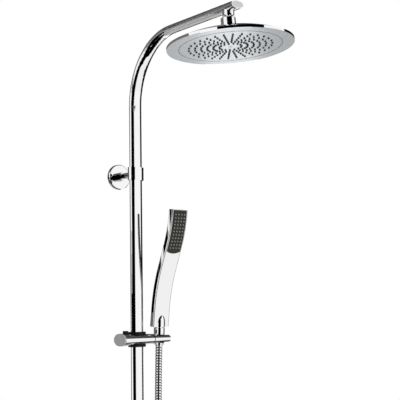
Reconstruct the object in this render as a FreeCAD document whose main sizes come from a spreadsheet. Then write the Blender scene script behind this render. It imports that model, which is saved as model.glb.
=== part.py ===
import FreeCAD, Part
import math
import os
import Sketcher

# A shower column for a bathroom wall, in millimetres. +Z is up, the wall is the plane y = 0 and the
# column stands in front of it, towards -Y. The origin is the centre of the wall inlet.

Vector = FreeCAD.Vector
Rotation = FreeCAD.Rotation
UPRIGHT = Rotation()
ALONG_X = Rotation(Vector(0, 1, 0), 90)
TO_WALL = Rotation(Vector(1, 0, 0), -90)
FROM_WALL = Rotation(Vector(1, 0, 0), 90)

doc = FreeCAD.newDocument("ShowerSet")
sheet = doc.addObject("Spreadsheet::Sheet", "Sizes")

# Every size that can be set by itself: name, value and what it measures.
SIZES = [
    ("seat_fit", 0.05, "gap round a piece fixed in its seat"),
    ("running_fit", 0.08, "gap round a piece that turns or slides in its seat"),
    ("moving_gap", 0.4, "gap between faces that pass each other"),
    ("seal_round", 0.8, "section radius of the rubber rings"),
    ("riser_wide", 28.0, "oval tube, across"),
    ("riser_deep", 15.0, "oval tube, front to back"),
    ("riser_wall", 1.5, "tube wall"),
    ("riser_reach", 65.0, "riser axis in front of the wall"),
    ("riser_start", 40.0, "lower end of the tube above the inlet axis"),
    ("arm_height", 1077.0, "arm axis above the inlet axis"),
    ("arm_reach", 328.0, "arm end in front of the riser axis"),
    ("bend_radius", 130.0, "bend between riser and arm"),
    ("plug_depth", 9.0, "arm end plug inside the tube"),
    ("foot_bore", 5.0, "water way radius in the riser's foot"),
    ("foot_flange", 16.0, "flange radius under the tube"),
    ("foot_flange_high", 4.0, "flange thickness"),
    ("foot_plug_high", 18.0, "oval plug inside the tube"),
    ("spigot_radius", 9.0, "foot spigot in the diverter"),
    ("spigot_long", 20.0, "foot spigot length"),
    ("ring_spacing", 7.0, "spacing of the two rubber rings"),
    ("valve_radius", 21.0, "diverter's upright barrel"),
    ("valve_below", 30.0, "barrel's lower end below the inlet axis"),
    ("boss_radius", 17.0, "diverter's cross barrel"),
    ("boss_front", 30.0, "cross barrel in front of the riser axis"),
    ("boss_back", 26.0, "cross barrel behind the riser axis"),
    ("water_radius", 5.5, "water ways in the diverter"),
    ("grub_radius", 2.0, "grub screws"),
    ("inlet_spigot", 9.0, "inlet stem's spigot radius"),
    ("inlet_seat", 14.0, "inlet spigot's depth in the diverter"),
    ("inlet_radius", 12.0, "inlet stem's outer radius"),
    ("inlet_thread", 10.4, "wall thread radius, G 1/2"),
    ("inlet_thread_long", 15.0, "wall thread length"),
    ("washer_thick", 2.0, "rubber washers"),
    ("rosette_radius", 30.0, "lower rosette"),
    ("rosette_high", 8.0, "rosette depth off the wall"),
    ("sheet_thick", 1.5, "pressed metal of the rosettes"),
    ("cartridge_radius", 12.0, "diverter cartridge"),
    ("cartridge_back", 1.0, "cartridge behind the riser axis"),
    ("spool_radius", 8.0, "spindle's spool inside the cartridge"),
    ("spool_long", 18.0, "spool in front of the riser axis"),
    ("shaft_radius", 5.0, "spindle's shaft"),
    ("nut_thick", 4.0, "cartridge nut"),
    ("nut_radius", 16.0, "cartridge nut's radius"),
    ("knob_radius", 18.0, "diverter knob"),
    ("knob_long", 25.0, "knob length"),
    ("knob_grip", 17.0, "shaft's depth in the knob"),
    ("knob_edge", 1.6, "knob's chamfer"),
    ("peg_radius", 2.6, "knob's pointer peg"),
    ("peg_reach", 27.0, "pointer peg from the knob's axis"),
    ("hose_radius", 7.0, "metal hose, crest radius"),
    ("hose_valley", 6.3, "metal hose, valley radius"),
    ("hose_bore", 4.5, "hose bore radius"),
    ("thread_radius", 8.0, "hose thread"),
    ("thread_long", 12.0, "hose thread length"),
    ("insert_flange", 7.4, "hose insert's flange radius"),
    ("insert_flange_thick", 2.6, "hose insert's flange"),
    ("insert_neck", 5.4, "hose insert's neck radius"),
    ("insert_bore", 3.0, "hose insert's bore"),
    ("barb_long", 18.0, "hose insert inside the hose"),
    ("nipple_radius", 11.0, "outlet nipple's flange"),
    ("nipple_flange", 4.0, "outlet nipple's flange thickness"),
    ("lower_nut_radius", 11.0, "hose nut at the diverter"),
    ("lower_nut_neck", 11.0, "hose nut's tapered end"),
    ("collar_height", 809.0, "wall bracket above the inlet axis"),
    ("collar_wall", 3.5, "riser collar round the tube"),
    ("collar_tall", 26.0, "riser collar's height"),
    ("stem_neck", 6.3, "bracket stem's thin end"),
    ("stem_barrel", 9.3, "bracket stem's thick end"),
    ("stem_barrel_long", 15.0, "thick end in front of the rosette"),
    ("stem_thread", 4.0, "stem's thread in the collar"),
    ("cover_radius", 25.6, "upper rosette"),
    ("cover_high", 7.0, "upper rosette's depth off the wall"),
    ("plate_radius", 20.0, "wall plate under the rosette"),
    ("plate_thick", 4.0, "wall plate"),
    ("plate_boss", 7.0, "wall plate's boss in the stem"),
    ("plate_boss_long", 11.0, "boss length"),
    ("screw_offset", 14.0, "wall screws above and below the stem's axis"),
    ("screw_radius", 2.1, "wall screw's thread in the wall"),
    ("screw_neck", 2.4, "wall screw's plain neck in the plate"),
    ("screw_head", 4.0, "wall screw head"),
    ("screw_head_deep", 2.2, "countersunk head depth"),
    ("screw_long", 26.0, "wall screw length"),
    ("neck_inset", 27.0, "head's axis behind the arm's end"),
    ("stub_radius", 11.0, "neck under the arm"),
    ("stub_drop", 15.0, "neck's lower end below the arm axis"),
    ("stub_bore", 5.0, "neck's water way"),
    ("stud_thread", 7.0, "ball stud's thread in the neck"),
    ("stud_thread_long", 9.0, "ball stud's thread length"),
    ("stud_neck", 6.0, "ball stud's neck"),
    ("stud_neck_long", 11.6, "ball centre below the neck's end"),
    ("ball_radius", 10.5, "ball of the joint"),
    ("ball_bore", 4.0, "water way through the ball"),
    ("ring_thick", 1.0, "slip ring round the ball"),
    ("ring_low", 1.0, "slip ring's lower edge above the ball centre"),
    ("ring_top", 5.0, "slip ring's upper edge above the ball centre"),
    ("union_radius", 13.5, "union nut"),
    ("union_top", 8.5, "union nut's top above the ball centre"),
    ("union_low", 6.2, "union nut's lower end below the ball centre"),
    ("union_mouth", 9.8, "union nut's opening"),
    ("union_edge", 1.5, "union nut's chamfer"),
    ("socket_wall", 1.1, "head's threaded socket round the ball"),
    ("socket_top", 1.5, "socket's rim below the ball centre"),
    ("seat_low", 9.7, "ball seat below the ball centre"),
    ("seal_thick", 1.3, "ball seal"),
    ("head_nod", -3.6, "head's rest tilt about X, degrees"),
    ("head_lean", -2.0, "head's rest tilt about Y, degrees"),
    ("head_radius", 115.0, "rain head"),
    ("head_drop", 45.4, "head's face below the ball centre"),
    ("head_shell", 2.0, "head's shell"),
    ("head_edge", 4.6, "head's upright edge"),
    ("head_boss", 14.5, "head's boss under the union nut"),
    ("head_boss_low", 15.0, "boss below the ball centre"),
    ("dome_radius", 300.0, "dome's profile arc"),
    ("face_radius", 92.8, "face plate inside the rim ring"),
    ("face_gap", 0.35, "groove between face plate and rim ring"),
    ("face_thick", 2.5, "face plate and rim ring"),
    ("mat_thick", 2.0, "rubber mat behind the face"),
    ("back_thick", 1.5, "back plate over the mat"),
    ("nozzle_radius", 1.8, "rubber nozzle"),
    ("nozzle_stand", 1.6, "nozzle below the face"),
    ("nozzle_inner", 20.0, "nozzles of every second arm nearest the middle"),
    ("nozzle_first", 31.0, "first nozzle of every arm from the middle"),
    ("nozzle_step", 11.0, "nozzle spacing along an arm"),
    ("centre_screw", 2.0, "screw at the head's middle"),
    ("centre_head", 3.6, "its head"),
    ("slider_height", 480.0, "slider's axis above the inlet axis"),
    ("slider_deep", 41.0, "slider bar's plain end, front to back"),
    ("slider_tall", 24.6, "slider bar's plain end, height"),
    ("slider_end", 41.0, "slider bar's plain end left of the riser"),
    ("slider_joint", 32.0, "slider bar's end at the holder"),
    ("joint_deep", 33.0, "bar at the holder, front to back"),
    ("joint_tall", 19.6, "bar at the holder, height"),
    ("end_cap_thick", 3.0, "end cap"),
    ("peg_seat", 6.0, "end cap's peg radius"),
    ("peg_long", 6.0, "end cap's peg length"),
    ("bush_wide", 38.0, "black bush, across"),
    ("bush_deep", 27.0, "black bush, front to back"),
    ("bush_top", 14.8, "bush above the slider's axis"),
    ("bush_low", 14.5, "bush below the slider's axis"),
    ("bush_split", 3.2, "each bush from the slider's axis"),
    ("button_wide", 8.0, "lock button"),
    ("button_offset", 27.0, "lock button left of the riser"),
    ("button_top", 17.2, "button's top above the slider's axis"),
    ("button_foot", 4.0, "button's lower end above the slider's axis"),
    ("button_gap", 0.3, "gap round the button"),
    ("pocket_low", 7.0, "button's pocket below the slider's axis"),
    ("spring_radius", 3.2, "button spring"),
    ("spring_wire", 1.0, "button spring's wire"),
    ("shoe_wide", 8.0, "clamp shoe, front to back"),
    ("shoe_tall", 5.8, "clamp shoe, height"),
    ("pivot_radius", 7.0, "holder's spigot in the bar"),
    ("pivot_start", 20.6, "spigot's end right of the riser"),
    ("pivot_groove", 25.0, "friction ring's groove"),
    ("washer_gap", 1.6, "dark ring between bar and holder"),
    ("washer_slack", 0.1, "gap on each side of the dark ring"),
    ("washer_inset", 0.5, "dark ring inside the bar's outline"),
    ("holder_end", 72.5, "holder's end right of the riser"),
    ("holder_deep", 28.5, "holder's end, front to back"),
    ("holder_tall", 16.8, "holder's end, height"),
    ("holder_offset", 53.2, "handset's axis right of the riser"),
    ("cone_lean", 3.0, "cone's lean from upright, degrees"),
    ("cone_wide", 11.0, "cone nut's upper radius"),
    ("cone_narrow", 9.0, "cone nut's lower radius"),
    ("cone_half", 12.0, "cone above and below the holder's axis"),
    ("cone_top", 21.7, "cone nut's upper end"),
    ("liner_wall", 1.2, "plastic liner in the holder"),
    ("liner_half", 8.2, "liner above and below the holder's axis"),
    ("liner_turn", 260.0, "liner's wrap round the cone, degrees"),
    ("liner_gap", 0.15, "gap between cone and liner"),
    ("slot_wide", 15.0, "hose slot in the holder"),
    ("connector_radius", 11.5, "handset's inlet tube"),
    ("connector_top", 54.0, "inlet tube's top above the holder's axis"),
    ("connector_dome", 22.0, "inlet tube's rounded top"),
    ("connector_tip", 3.5, "flat radius on top of the inlet tube"),
    ("stick_bottom", 24.0, "handset's lower end above the holder's axis"),
    ("stick_lean", 8.0, "handset's foot, its lean from upright in degrees"),
    ("stick_back", 2.3, "handset's middle behind the cone's axis"),
    ("stick_wide", 38.4, "handset, across"),
    ("stick_deep", 13.0, "handset, front to back"),
    ("stick_round", 2.6, "handset's edge radius"),
    ("stick_wall", 1.6, "handset's wall"),
    ("stick_base", 35.8, "straight stretch at the bottom"),
    ("bow_low", 279.0, "handset's lower bend"),
    ("bow_high", 231.0, "handset's upper bend"),
    ("bow_angle", 16.9, "handset's bends, degrees"),
    ("stick_middle", 50.5, "straight stretch between the bends"),
    ("stick_head", 5.0, "straight stretch at the top"),
    ("cap_thick", 3.0, "handset's end pieces"),
    ("spray_wide", 33.0, "spray face, across"),
    ("spray_round", 35.0, "spray face's rounded lower end"),
    ("spray_long", 88.0, "spray face from the handset's top"),
    ("spray_margin", 0.8, "metal above the spray face"),
    ("spray_first", 9.5, "first row of spray nozzles below the handset's top"),
    ("spray_pitch_across", 6.9, "spray nozzles, across"),
    ("spray_pitch_along", 6.5, "spray nozzles, along"),
    ("spray_nozzle", 1.4, "spray nozzle radius"),
    ("spray_stand", 1.8, "spray nozzle above the face"),
    ("chamber_wall", 1.2, "spray chamber's wall"),
    ("waterway_radius", 2.4, "tube inside the handset"),
    ("waterway_bore", 1.6, "its bore"),
    ("waterway_ahead", 2.4, "tube inside the handset, in front of its middle"),
]

HEAD_ARMS = 30
HEAD_INNER_NOZZLES = 15
HEAD_NOZZLES_PER_ARM = 5
SPRAY_COLUMNS = 4
SPRAY_ROWS = 11
HOSE_RIBS = 200


class Size:
    """A length with its value now and the spreadsheet expression that gives it."""

    def __init__(self, text, value):
        self.text = text
        self.value = value

    def __float__(self):
        return self.value

    def __add__(self, other):
        return Size("(%s + %s)" % (self.text, text_of(other)), self.value + float(other))

    def __sub__(self, other):
        return Size("(%s - %s)" % (self.text, text_of(other)), self.value - float(other))

    def __rsub__(self, other):
        return Size("(%s - %s)" % (text_of(other), self.text), float(other) - self.value)

    def __mul__(self, other):
        return Size("(%s * %s)" % (self.text, text_of(other)), self.value * float(other))

    def __truediv__(self, other):
        return Size("(%s / %s)" % (self.text, text_of(other)), self.value / float(other))

    def __neg__(self):
        return Size("(-%s)" % self.text, -self.value)

    __radd__ = __add__
    __rmul__ = __mul__


def text_of(value):
    """The expression of a size, or a plain number's own digits."""
    return value.text if isinstance(value, Size) else repr(float(value))


def sine(angle):
    return Size("sin(%s * 1 deg)" % angle.text, math.sin(math.radians(angle.value)))


def cosine(angle):
    return Size("cos(%s * 1 deg)" % angle.text, math.cos(math.radians(angle.value)))


def root(value):
    return Size("sqrt(%s)" % value.text, math.sqrt(value.value))


def lesser(first, second):
    return Size("min(%s; %s)" % (first.text, second.text), min(first.value, second.value))


class Named:
    """The sizes by name."""


size = Named()
for row, (name, value, note) in enumerate(SIZES, 1):
    sheet.set("A%d" % row, name)
    sheet.set("B%d" % row, str(value))
    sheet.set("C%d" % row, note)
    sheet.setAlias("B%d" % row, name)
    setattr(size, name, Size("Sizes." + name, value))
doc.recompute()


# Drawing and building helpers

def bind(item, path, value):
    """Set a property to a plain number, or tie it to the spreadsheet."""
    setattr(item, path, float(value))
    if isinstance(value, Size):
        item.setExpression(path, value.text)


def place(item, spot, rotation=UPRIGHT):
    """Put an object at a spot whose coordinates may be sizes."""
    item.Placement = FreeCAD.Placement(Vector(*[float(value) for value in spot]), rotation)
    for letter, value in zip("xyz", spot):
        if isinstance(value, Size):
            item.setExpression("Placement.Base." + letter, value.text)
    return item


def new_body(label):
    body = doc.addObject("PartDesign::Body", label)
    body.Label = label
    return body


def sketch_on(body, role, lift=0):
    """A sketch on one of the body's own origin planes, lifted along the plane's normal."""
    sketch = body.newObject("Sketcher::SketchObject", body.Name + "_sketch")
    plane = [item for item in body.Origin.OriginFeatures if item.Role == role][0]
    sketch.AttachmentSupport = [(plane, "")]
    sketch.MapMode = "FlatFace"
    sketch.AttachmentOffset = FreeCAD.Placement(Vector(0, 0, float(lift)), UPRIGHT)
    if isinstance(lift, Size):
        sketch.setExpression("AttachmentOffset.Base.z", lift.text)
    return sketch


def dimension(sketch, constraint, value):
    index = sketch.addConstraint(constraint)
    if isinstance(value, Size):
        sketch.setExpression("Constraints[%d]" % index, value.text)


def pin(sketch, edge, end, x, y):
    """Fix one end of an edge at x, y from the sketch's origin."""
    for kind, axis, value in (("DistanceX", -2, x), ("DistanceY", -1, y)):
        if isinstance(value, Size) or value != 0:
            constraint = Sketcher.Constraint(kind, -1, 1, edge, end, float(value))
            dimension(sketch, constraint, value)
        else:
            sketch.addConstraint(Sketcher.Constraint("PointOnObject", edge, end, axis))


def arc_between(start, stop, radius):
    """The short arc from start to stop, counter-clockwise for a positive radius."""
    if radius < 0:
        start, stop = stop, start
    chord = stop - start
    rise = math.sqrt(max(radius * radius - chord.Length * chord.Length / 4, 0))
    left = Vector(-chord.y, chord.x, 0).normalize()
    centre = (start + stop) * 0.5 + left * rise
    first = math.atan2(start.y - centre.y, start.x - centre.x)
    last = math.atan2(stop.y - centre.y, stop.x - centre.x)
    return Part.ArcOfCircle(Part.Circle(centre, Vector(0, 0, 1), abs(radius)), first, last)


def outline(sketch, corners, closed=True):
    """Edges through the corners. A corner's third entry is the radius of the arc that reaches it,
    negative where that arc runs clockwise."""
    spots = [Vector(float(corner[0]), float(corner[1]), 0) for corner in corners]
    ends = []
    for i in range(0 if closed else 1, len(corners)):
        if len(corners[i]) == 2:
            edge = sketch.addGeometry(Part.LineSegment(spots[i - 1], spots[i]), False)
            ends.append((edge, 1, 2))
            continue
        radius = corners[i][2]
        edge = sketch.addGeometry(arc_between(spots[i - 1], spots[i], float(radius)), False)
        turns_left = float(radius) > 0
        ends.append((edge, 1, 2) if turns_left else (edge, 2, 1))
        radius = radius if turns_left else -radius
        dimension(sketch, Sketcher.Constraint("Radius", edge, float(radius)), radius)
    for before, after in zip(ends, ends[1:]):
        sketch.addConstraint(Sketcher.Constraint("Coincident", before[0], before[2], after[0], after[1]))
    if closed:
        before, after = ends[-1], ends[0]
        sketch.addConstraint(Sketcher.Constraint("Coincident", before[0], before[2], after[0], after[1]))
    else:
        pin(sketch, ends[0][0], ends[0][1], corners[0][0], corners[0][1])
    for end, corner in zip(ends, corners if closed else corners[1:]):
        pin(sketch, end[0], end[2], corner[0], corner[1])


def circle(sketch, radius, x=0, y=0):
    edge = sketch.addGeometry(Part.Circle(Vector(float(x), float(y), 0), Vector(0, 0, 1), float(radius)))
    pin(sketch, edge, 3, x, y)
    dimension(sketch, Sketcher.Constraint("Radius", edge, float(radius)), radius)


def oval(sketch, wide, deep):
    """An ellipse about the sketch's origin, its long axis along the sketch's x."""
    edge = sketch.addGeometry(Part.Ellipse(Vector(), float(wide) / 2, float(deep) / 2), False)
    sketch.exposeInternalGeometry(edge)
    long_axis, short_axis = edge + 1, edge + 2
    sketch.addConstraint(Sketcher.Constraint("Coincident", edge, 3, -1, 1))
    sketch.addConstraint(Sketcher.Constraint("Horizontal", long_axis))
    dimension(sketch, Sketcher.Constraint("Distance", long_axis, float(wide)), wide)
    dimension(sketch, Sketcher.Constraint("Distance", short_axis, float(deep)), deep)


def rounded(sketch, wide, deep, radius, y=0):
    """A rectangle with round corners, its middle at y."""
    right = wide / 2
    back = y + deep / 2
    front = y - deep / 2
    outline(sketch, [
        (right, front + radius, radius), (right, back - radius),
        (right - radius, back, radius), (radius - right, back),
        (-right, back - radius, radius), (-right, front + radius),
        (radius - right, front, radius), (right - radius, front)])


def rectangle(sketch, left, right, low, high):
    outline(sketch, [(left, low), (right, low), (right, high), (left, high)])


def turned(label, profile, wrap=None):
    """A piece turned about its Z axis from a profile of radius and height."""
    body = new_body(label)
    sketch = sketch_on(body, "XZ_Plane")
    outline(sketch, profile)
    turn = body.newObject("PartDesign::Revolution", label + "_turn")
    turn.Profile = sketch
    turn.ReferenceAxis = (sketch, ["V_Axis"])
    turn.Angle = 360.0
    if wrap is not None:
        turn.Midplane = True
        bind(turn, "Angle", wrap)
    return body


def ring(label, inner, outer, low, high):
    return turned(label, [(inner, low), (outer, low), (outer, high), (inner, high)])


def padded(label, draw, lift, height, role="XY_Plane"):
    """A body of one sketch, raised along the plane's normal."""
    body = new_body(label)
    sketch = sketch_on(body, role, lift)
    draw(sketch)
    pad = body.newObject("PartDesign::Pad", label + "_pad")
    pad.Profile = sketch
    bind(pad, "Length", height)
    return body


def swept(label, draw, start, spine_corners, spine_edges):
    """A body whose section, drawn at height start, follows a spine in the YZ plane."""
    body = new_body(label)
    section = sketch_on(body, "XY_Plane", start)
    draw(section)
    spine = sketch_on(body, "YZ_Plane")
    outline(spine, spine_corners, closed=False)
    pipe = body.newObject("PartDesign::AdditivePipe", label + "_pipe")
    pipe.Profile = section
    pipe.Spine = (spine, spine_edges)
    return body


def tapered_bar(label, start, start_deep, start_tall, end, end_deep, end_tall):
    """An oval bar along X with straight sides."""
    body = new_body(label)
    first = sketch_on(body, "YZ_Plane", start)
    oval(first, start_deep, start_tall)
    last = sketch_on(body, "YZ_Plane", end)
    oval(last, end_deep, end_tall)
    loft = body.newObject("PartDesign::AdditiveLoft", label + "_loft")
    loft.Profile = first
    loft.Sections = [last]
    loft.Ruled = True
    return body


def rod(radius, height, spot, rotation=UPRIGHT):
    item = doc.addObject("Part::Cylinder", "rod")
    bind(item, "Radius", radius)
    bind(item, "Height", height)
    return place(item, spot, rotation)


def block(long, wide, tall, spot, rotation=UPRIGHT):
    """A box with its corner at spot."""
    item = doc.addObject("Part::Box", "block")
    bind(item, "Length", long)
    bind(item, "Width", wide)
    bind(item, "Height", tall)
    return place(item, spot, rotation)


def cone(low_radius, high_radius, height, spot, rotation=UPRIGHT):
    item = doc.addObject("Part::Cone", "cone")
    bind(item, "Radius1", low_radius)
    bind(item, "Radius2", high_radius)
    bind(item, "Height", height)
    return place(item, spot, rotation)


def seal_ring(radius, section, spot, rotation=UPRIGHT):
    item = doc.addObject("Part::Torus", "seal_ring")
    bind(item, "Radius1", radius)
    bind(item, "Radius2", section)
    return place(item, spot, rotation)


def fused(label, *items):
    item = doc.addObject("Part::MultiFuse", label)
    item.Shapes = list(items)
    item.Label = label
    return item


def group(label, *items):
    item = doc.addObject("Part::Compound", label)
    item.Links = list(items)
    item.Label = label
    return item


def cut(label, base, *tools):
    item = doc.addObject("Part::Cut", label)
    item.Base = base
    item.Tool = tools[0] if len(tools) == 1 else fused(label + "_tools", *tools)
    item.Label = label
    return item


def common(label, base, tool):
    item = doc.addObject("Part::Common", label)
    item.Base = base
    item.Tool = tool
    item.Label = label
    return item


pieces = []


def keep(item, spot, rotation=UPRIGHT):
    """Place a finished piece and list it for export."""
    pieces.append(place(item, spot, rotation))
    return item


# Places that the pieces share

riser_foot_spot = (0, -size.riser_reach, 0)
collar_spot = (0, -size.riser_reach, size.collar_height)
slider_spot = (0, -size.riser_reach, size.slider_height)
handset_spot = (size.holder_offset, -size.riser_reach, size.slider_height)
ball_drop = size.stub_drop + size.stud_neck_long
neck_reach = size.arm_reach - size.neck_inset
head_spot = (0, -size.riser_reach - neck_reach, size.arm_height - ball_drop)
HEAD_NOD = Rotation(Vector(1, 0, 0), float(size.head_nod))
HEAD_TURN = Rotation(Vector(0, 1, 0), float(size.head_lean)) * HEAD_NOD
NOZZLE_TURN = HEAD_TURN * Rotation(Vector(0, 0, 1), 180.0 / HEAD_ARMS)
CONE_TURN = Rotation(Vector(1, 0, 0), float(size.cone_lean))
LINER_TURN = CONE_TURN * Rotation(Vector(0, 0, 1), 180)
STICK_TURN = Rotation(Vector(1, 0, 0), float(size.stick_lean))
INLET_TURN = Rotation(Vector(1, 0, 0), float(size.cone_lean - size.stick_lean))

# Riser: one oval tube that bends forward into the arm, with a hole for the neck under the arm

bore_wide = size.riser_wide - size.riser_wall * 2
bore_deep = size.riser_deep - size.riser_wall * 2


def tube_section(sketch):
    oval(sketch, size.riser_wide, size.riser_deep)
    oval(sketch, bore_wide, bore_deep)


bend = lesser(size.bend_radius, size.arm_height - size.collar_height - size.collar_tall)
tube = swept("riser_tube", tube_section, size.riser_start, [
    (0, size.riser_start),
    (0, size.arm_height - bend),
    (-bend, size.arm_height, bend),
    (-size.arm_reach, size.arm_height)], ["Edge1", "Edge2", "Edge3"])
neck_hole = rod(size.stub_radius + size.seat_fit, size.riser_deep,
                (0, -neck_reach, size.arm_height - size.riser_deep))
keep(cut("riser_pipe", tube, neck_hole), riser_foot_spot)

# Arm end plug: its face is flush with the tube's end

plug_wide = bore_wide - size.seat_fit * 2
plug_deep = bore_deep - size.seat_fit * 2
keep(padded("arm_end_plug", lambda sketch: oval(sketch, plug_wide, plug_deep),
            size.arm_reach - size.plug_depth, size.plug_depth, "XZ_Plane"),
     (0, -size.riser_reach, size.arm_height))

# Riser foot: an oval plug in the tube, a flange, and a round spigot with two rubber rings

valve_top = size.riser_start - size.foot_flange_high
spigot_end = valve_top - size.spigot_long
socket_radius = size.spigot_radius + size.seat_fit
groove_radius = socket_radius - size.seal_round * 2 - size.seat_fit * 2
groove_half = size.seal_round + size.seat_fit * 2
lower_ring = spigot_end + size.seal_round * 4
upper_ring = lower_ring + size.ring_spacing
foot = turned("riser_foot", [
    (size.foot_bore, spigot_end), (size.spigot_radius, spigot_end),
    (size.spigot_radius, lower_ring - groove_half), (groove_radius, lower_ring - groove_half),
    (groove_radius, lower_ring + groove_half), (size.spigot_radius, lower_ring + groove_half),
    (size.spigot_radius, upper_ring - groove_half), (groove_radius, upper_ring - groove_half),
    (groove_radius, upper_ring + groove_half), (size.spigot_radius, upper_ring + groove_half),
    (size.spigot_radius, valve_top), (size.foot_flange, valve_top),
    (size.foot_flange, size.riser_start), (size.foot_bore, size.riser_start)])
foot_sketch = sketch_on(foot, "XY_Plane", size.riser_start)
oval(foot_sketch, plug_wide, plug_deep)
circle(foot_sketch, size.foot_bore)
foot_pad = foot.newObject("PartDesign::Pad", "riser_foot_plug")
foot_pad.Profile = foot_sketch
bind(foot_pad, "Length", size.foot_plug_high)
keep(foot, riser_foot_spot)
ring_radius = socket_radius - size.seal_round - size.seat_fit
keep(group("riser_o_rings",
           seal_ring(ring_radius, size.seal_round, (0, 0, lower_ring)),
           seal_ring(ring_radius, size.seal_round, (0, 0, upper_ring))), riser_foot_spot)

# Diverter body: an upright barrel for the riser and hose, a cross barrel for the feed and cartridge

valve_tall = valve_top + size.valve_below
grub_height = valve_top - size.grub_radius * 2
inlet_floor = size.boss_back - size.inlet_seat
barrel = rod(size.valve_radius, valve_tall, (0, 0, -size.valve_below))
cross_barrel = rod(size.boss_radius, size.boss_back + size.boss_front, (0, size.boss_back, 0), FROM_WALL)
keep(cut("diverter_body", fused("diverter_blank", barrel, cross_barrel),
         rod(socket_radius, size.spigot_long + size.moving_gap,
             (0, 0, spigot_end - size.moving_gap)),
         rod(size.water_radius, valve_tall, (0, 0, -size.valve_below)),
         rod(size.thread_radius + size.seat_fit, size.thread_long + size.moving_gap,
             (0, 0, -size.valve_below)),
         rod(size.cartridge_radius + size.seat_fit, size.boss_front + size.cartridge_back,
             (0, size.cartridge_back, 0), FROM_WALL),
         rod(size.inlet_spigot + size.seat_fit, size.inlet_seat, (0, inlet_floor, 0), TO_WALL),
         rod(size.water_radius, size.boss_back, (0, 0, 0), TO_WALL),
         rod(size.grub_radius + size.seat_fit, size.valve_radius, (0, 0, grub_height), TO_WALL)),
     riser_foot_spot)
grub_start = socket_radius + size.moving_gap
keep(rod(size.grub_radius, size.valve_radius - grub_start - size.moving_gap, (0, 0, 0)),
     (0, grub_start - size.riser_reach, grub_height), TO_WALL)
pieces[-1].Label = "riser_grub_screw"

# Wall feed: a stem with a wall thread, its rubber seal, and the lower rosette over the wall

seal_front = inlet_floor + size.washer_thick
rosette_front = size.riser_reach - size.rosette_high
keep(turned("inlet_stem", [
    (size.water_radius, seal_front), (size.inlet_spigot, seal_front),
    (size.inlet_spigot, size.boss_back), (size.inlet_radius, size.boss_back),
    (size.inlet_radius, size.riser_reach), (size.inlet_thread, size.riser_reach),
    (size.inlet_thread, size.riser_reach + size.inlet_thread_long),
    (size.water_radius, size.riser_reach + size.inlet_thread_long)]), riser_foot_spot, TO_WALL)
keep(ring("inlet_seal", size.water_radius + size.moving_gap, size.inlet_spigot - size.moving_gap,
          inlet_floor, seal_front), riser_foot_spot, TO_WALL)


def rosette(label, radius, hole, front):
    """A pressed dish that stands on the wall, with a hole for the stem."""
    inside = radius - size.sheet_thick
    floor = front + size.sheet_thick
    return turned(label, [
        (hole, front), (inside, front), (radius, floor), (radius, size.riser_reach),
        (inside, size.riser_reach), (inside, floor), (hole, floor)])


keep(rosette("lower_wall_rosette", size.rosette_radius, size.inlet_radius + size.seat_fit, rosette_front),
     riser_foot_spot, TO_WALL)

# Diverter cartridge, its turning spindle and the knob, about an axis that points from the wall

sleeve_bore = size.shaft_radius + size.running_fit
spool_bore = size.spool_radius + size.running_fit
front_ring = (size.spool_long + size.boss_front) / 2
ring_groove = sleeve_bore + size.seal_round * 2 + size.seat_fit * 2
keep(turned("diverter_cartridge", [
    (spool_bore, -size.cartridge_back), (size.cartridge_radius, -size.cartridge_back),
    (size.cartridge_radius, size.boss_front), (sleeve_bore, size.boss_front),
    (sleeve_bore, front_ring + groove_half), (ring_groove, front_ring + groove_half),
    (ring_groove, front_ring - groove_half), (sleeve_bore, front_ring - groove_half),
    (sleeve_bore, size.spool_long), (spool_bore, size.spool_long)]), riser_foot_spot, FROM_WALL)
nut_front = size.boss_front + size.nut_thick
knob_back = nut_front + size.moving_gap
shaft_end = knob_back + size.knob_grip
knob_front = knob_back + size.knob_long
spool_front = size.spool_long - size.moving_gap
spool_back = size.moving_gap - size.cartridge_back
keep(turned("diverter_spindle", [
    (0, spool_back), (size.spool_radius, spool_back), (size.spool_radius, spool_front),
    (size.shaft_radius, spool_front), (size.shaft_radius, shaft_end), (0, shaft_end)]),
     riser_foot_spot, FROM_WALL)
keep(seal_ring(sleeve_bore + size.seal_round + size.seat_fit, size.seal_round, (0, 0, 0)),
     (0, -size.riser_reach - front_ring, 0), FROM_WALL)
pieces[-1].Label = "spindle_o_ring"
keep(ring("cartridge_nut", size.shaft_radius + size.moving_gap, size.nut_radius,
          size.boss_front, nut_front), riser_foot_spot, FROM_WALL)
knob_bore = size.shaft_radius + size.seat_fit
knob_middle = (knob_back + shaft_end) / 2
knob_blank = turned("knob_blank", [
    (knob_bore, knob_back), (size.knob_radius - size.knob_edge, knob_back),
    (size.knob_radius, knob_back + size.knob_edge), (size.knob_radius, knob_front - size.knob_edge),
    (size.knob_radius - size.knob_edge, knob_front), (0, knob_front), (0, shaft_end + size.seat_fit),
    (knob_bore, shaft_end + size.seat_fit)])
peg_start = size.knob_radius - size.peg_radius
peg = rod(size.peg_radius, size.peg_reach - peg_start, (0, peg_start, knob_middle), TO_WALL)
screw_hole = rod(size.grub_radius + size.seat_fit, size.knob_radius, (0, 0, knob_middle), FROM_WALL)
keep(cut("diverter_knob", fused("knob_with_peg", knob_blank, peg), screw_hole), riser_foot_spot, FROM_WALL)
keep(rod(size.grub_radius, size.knob_radius - size.shaft_radius - size.knob_edge * 2, (0, 0, 0)),
     (0, -size.riser_reach - knob_middle, -size.shaft_radius - size.seat_fit),
     Rotation(Vector(1, 0, 0), 180))
pieces[-1].Label = "knob_screw"

# Lower end of the hose: outlet nipple, washer, insert and nut, all pointing down

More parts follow.
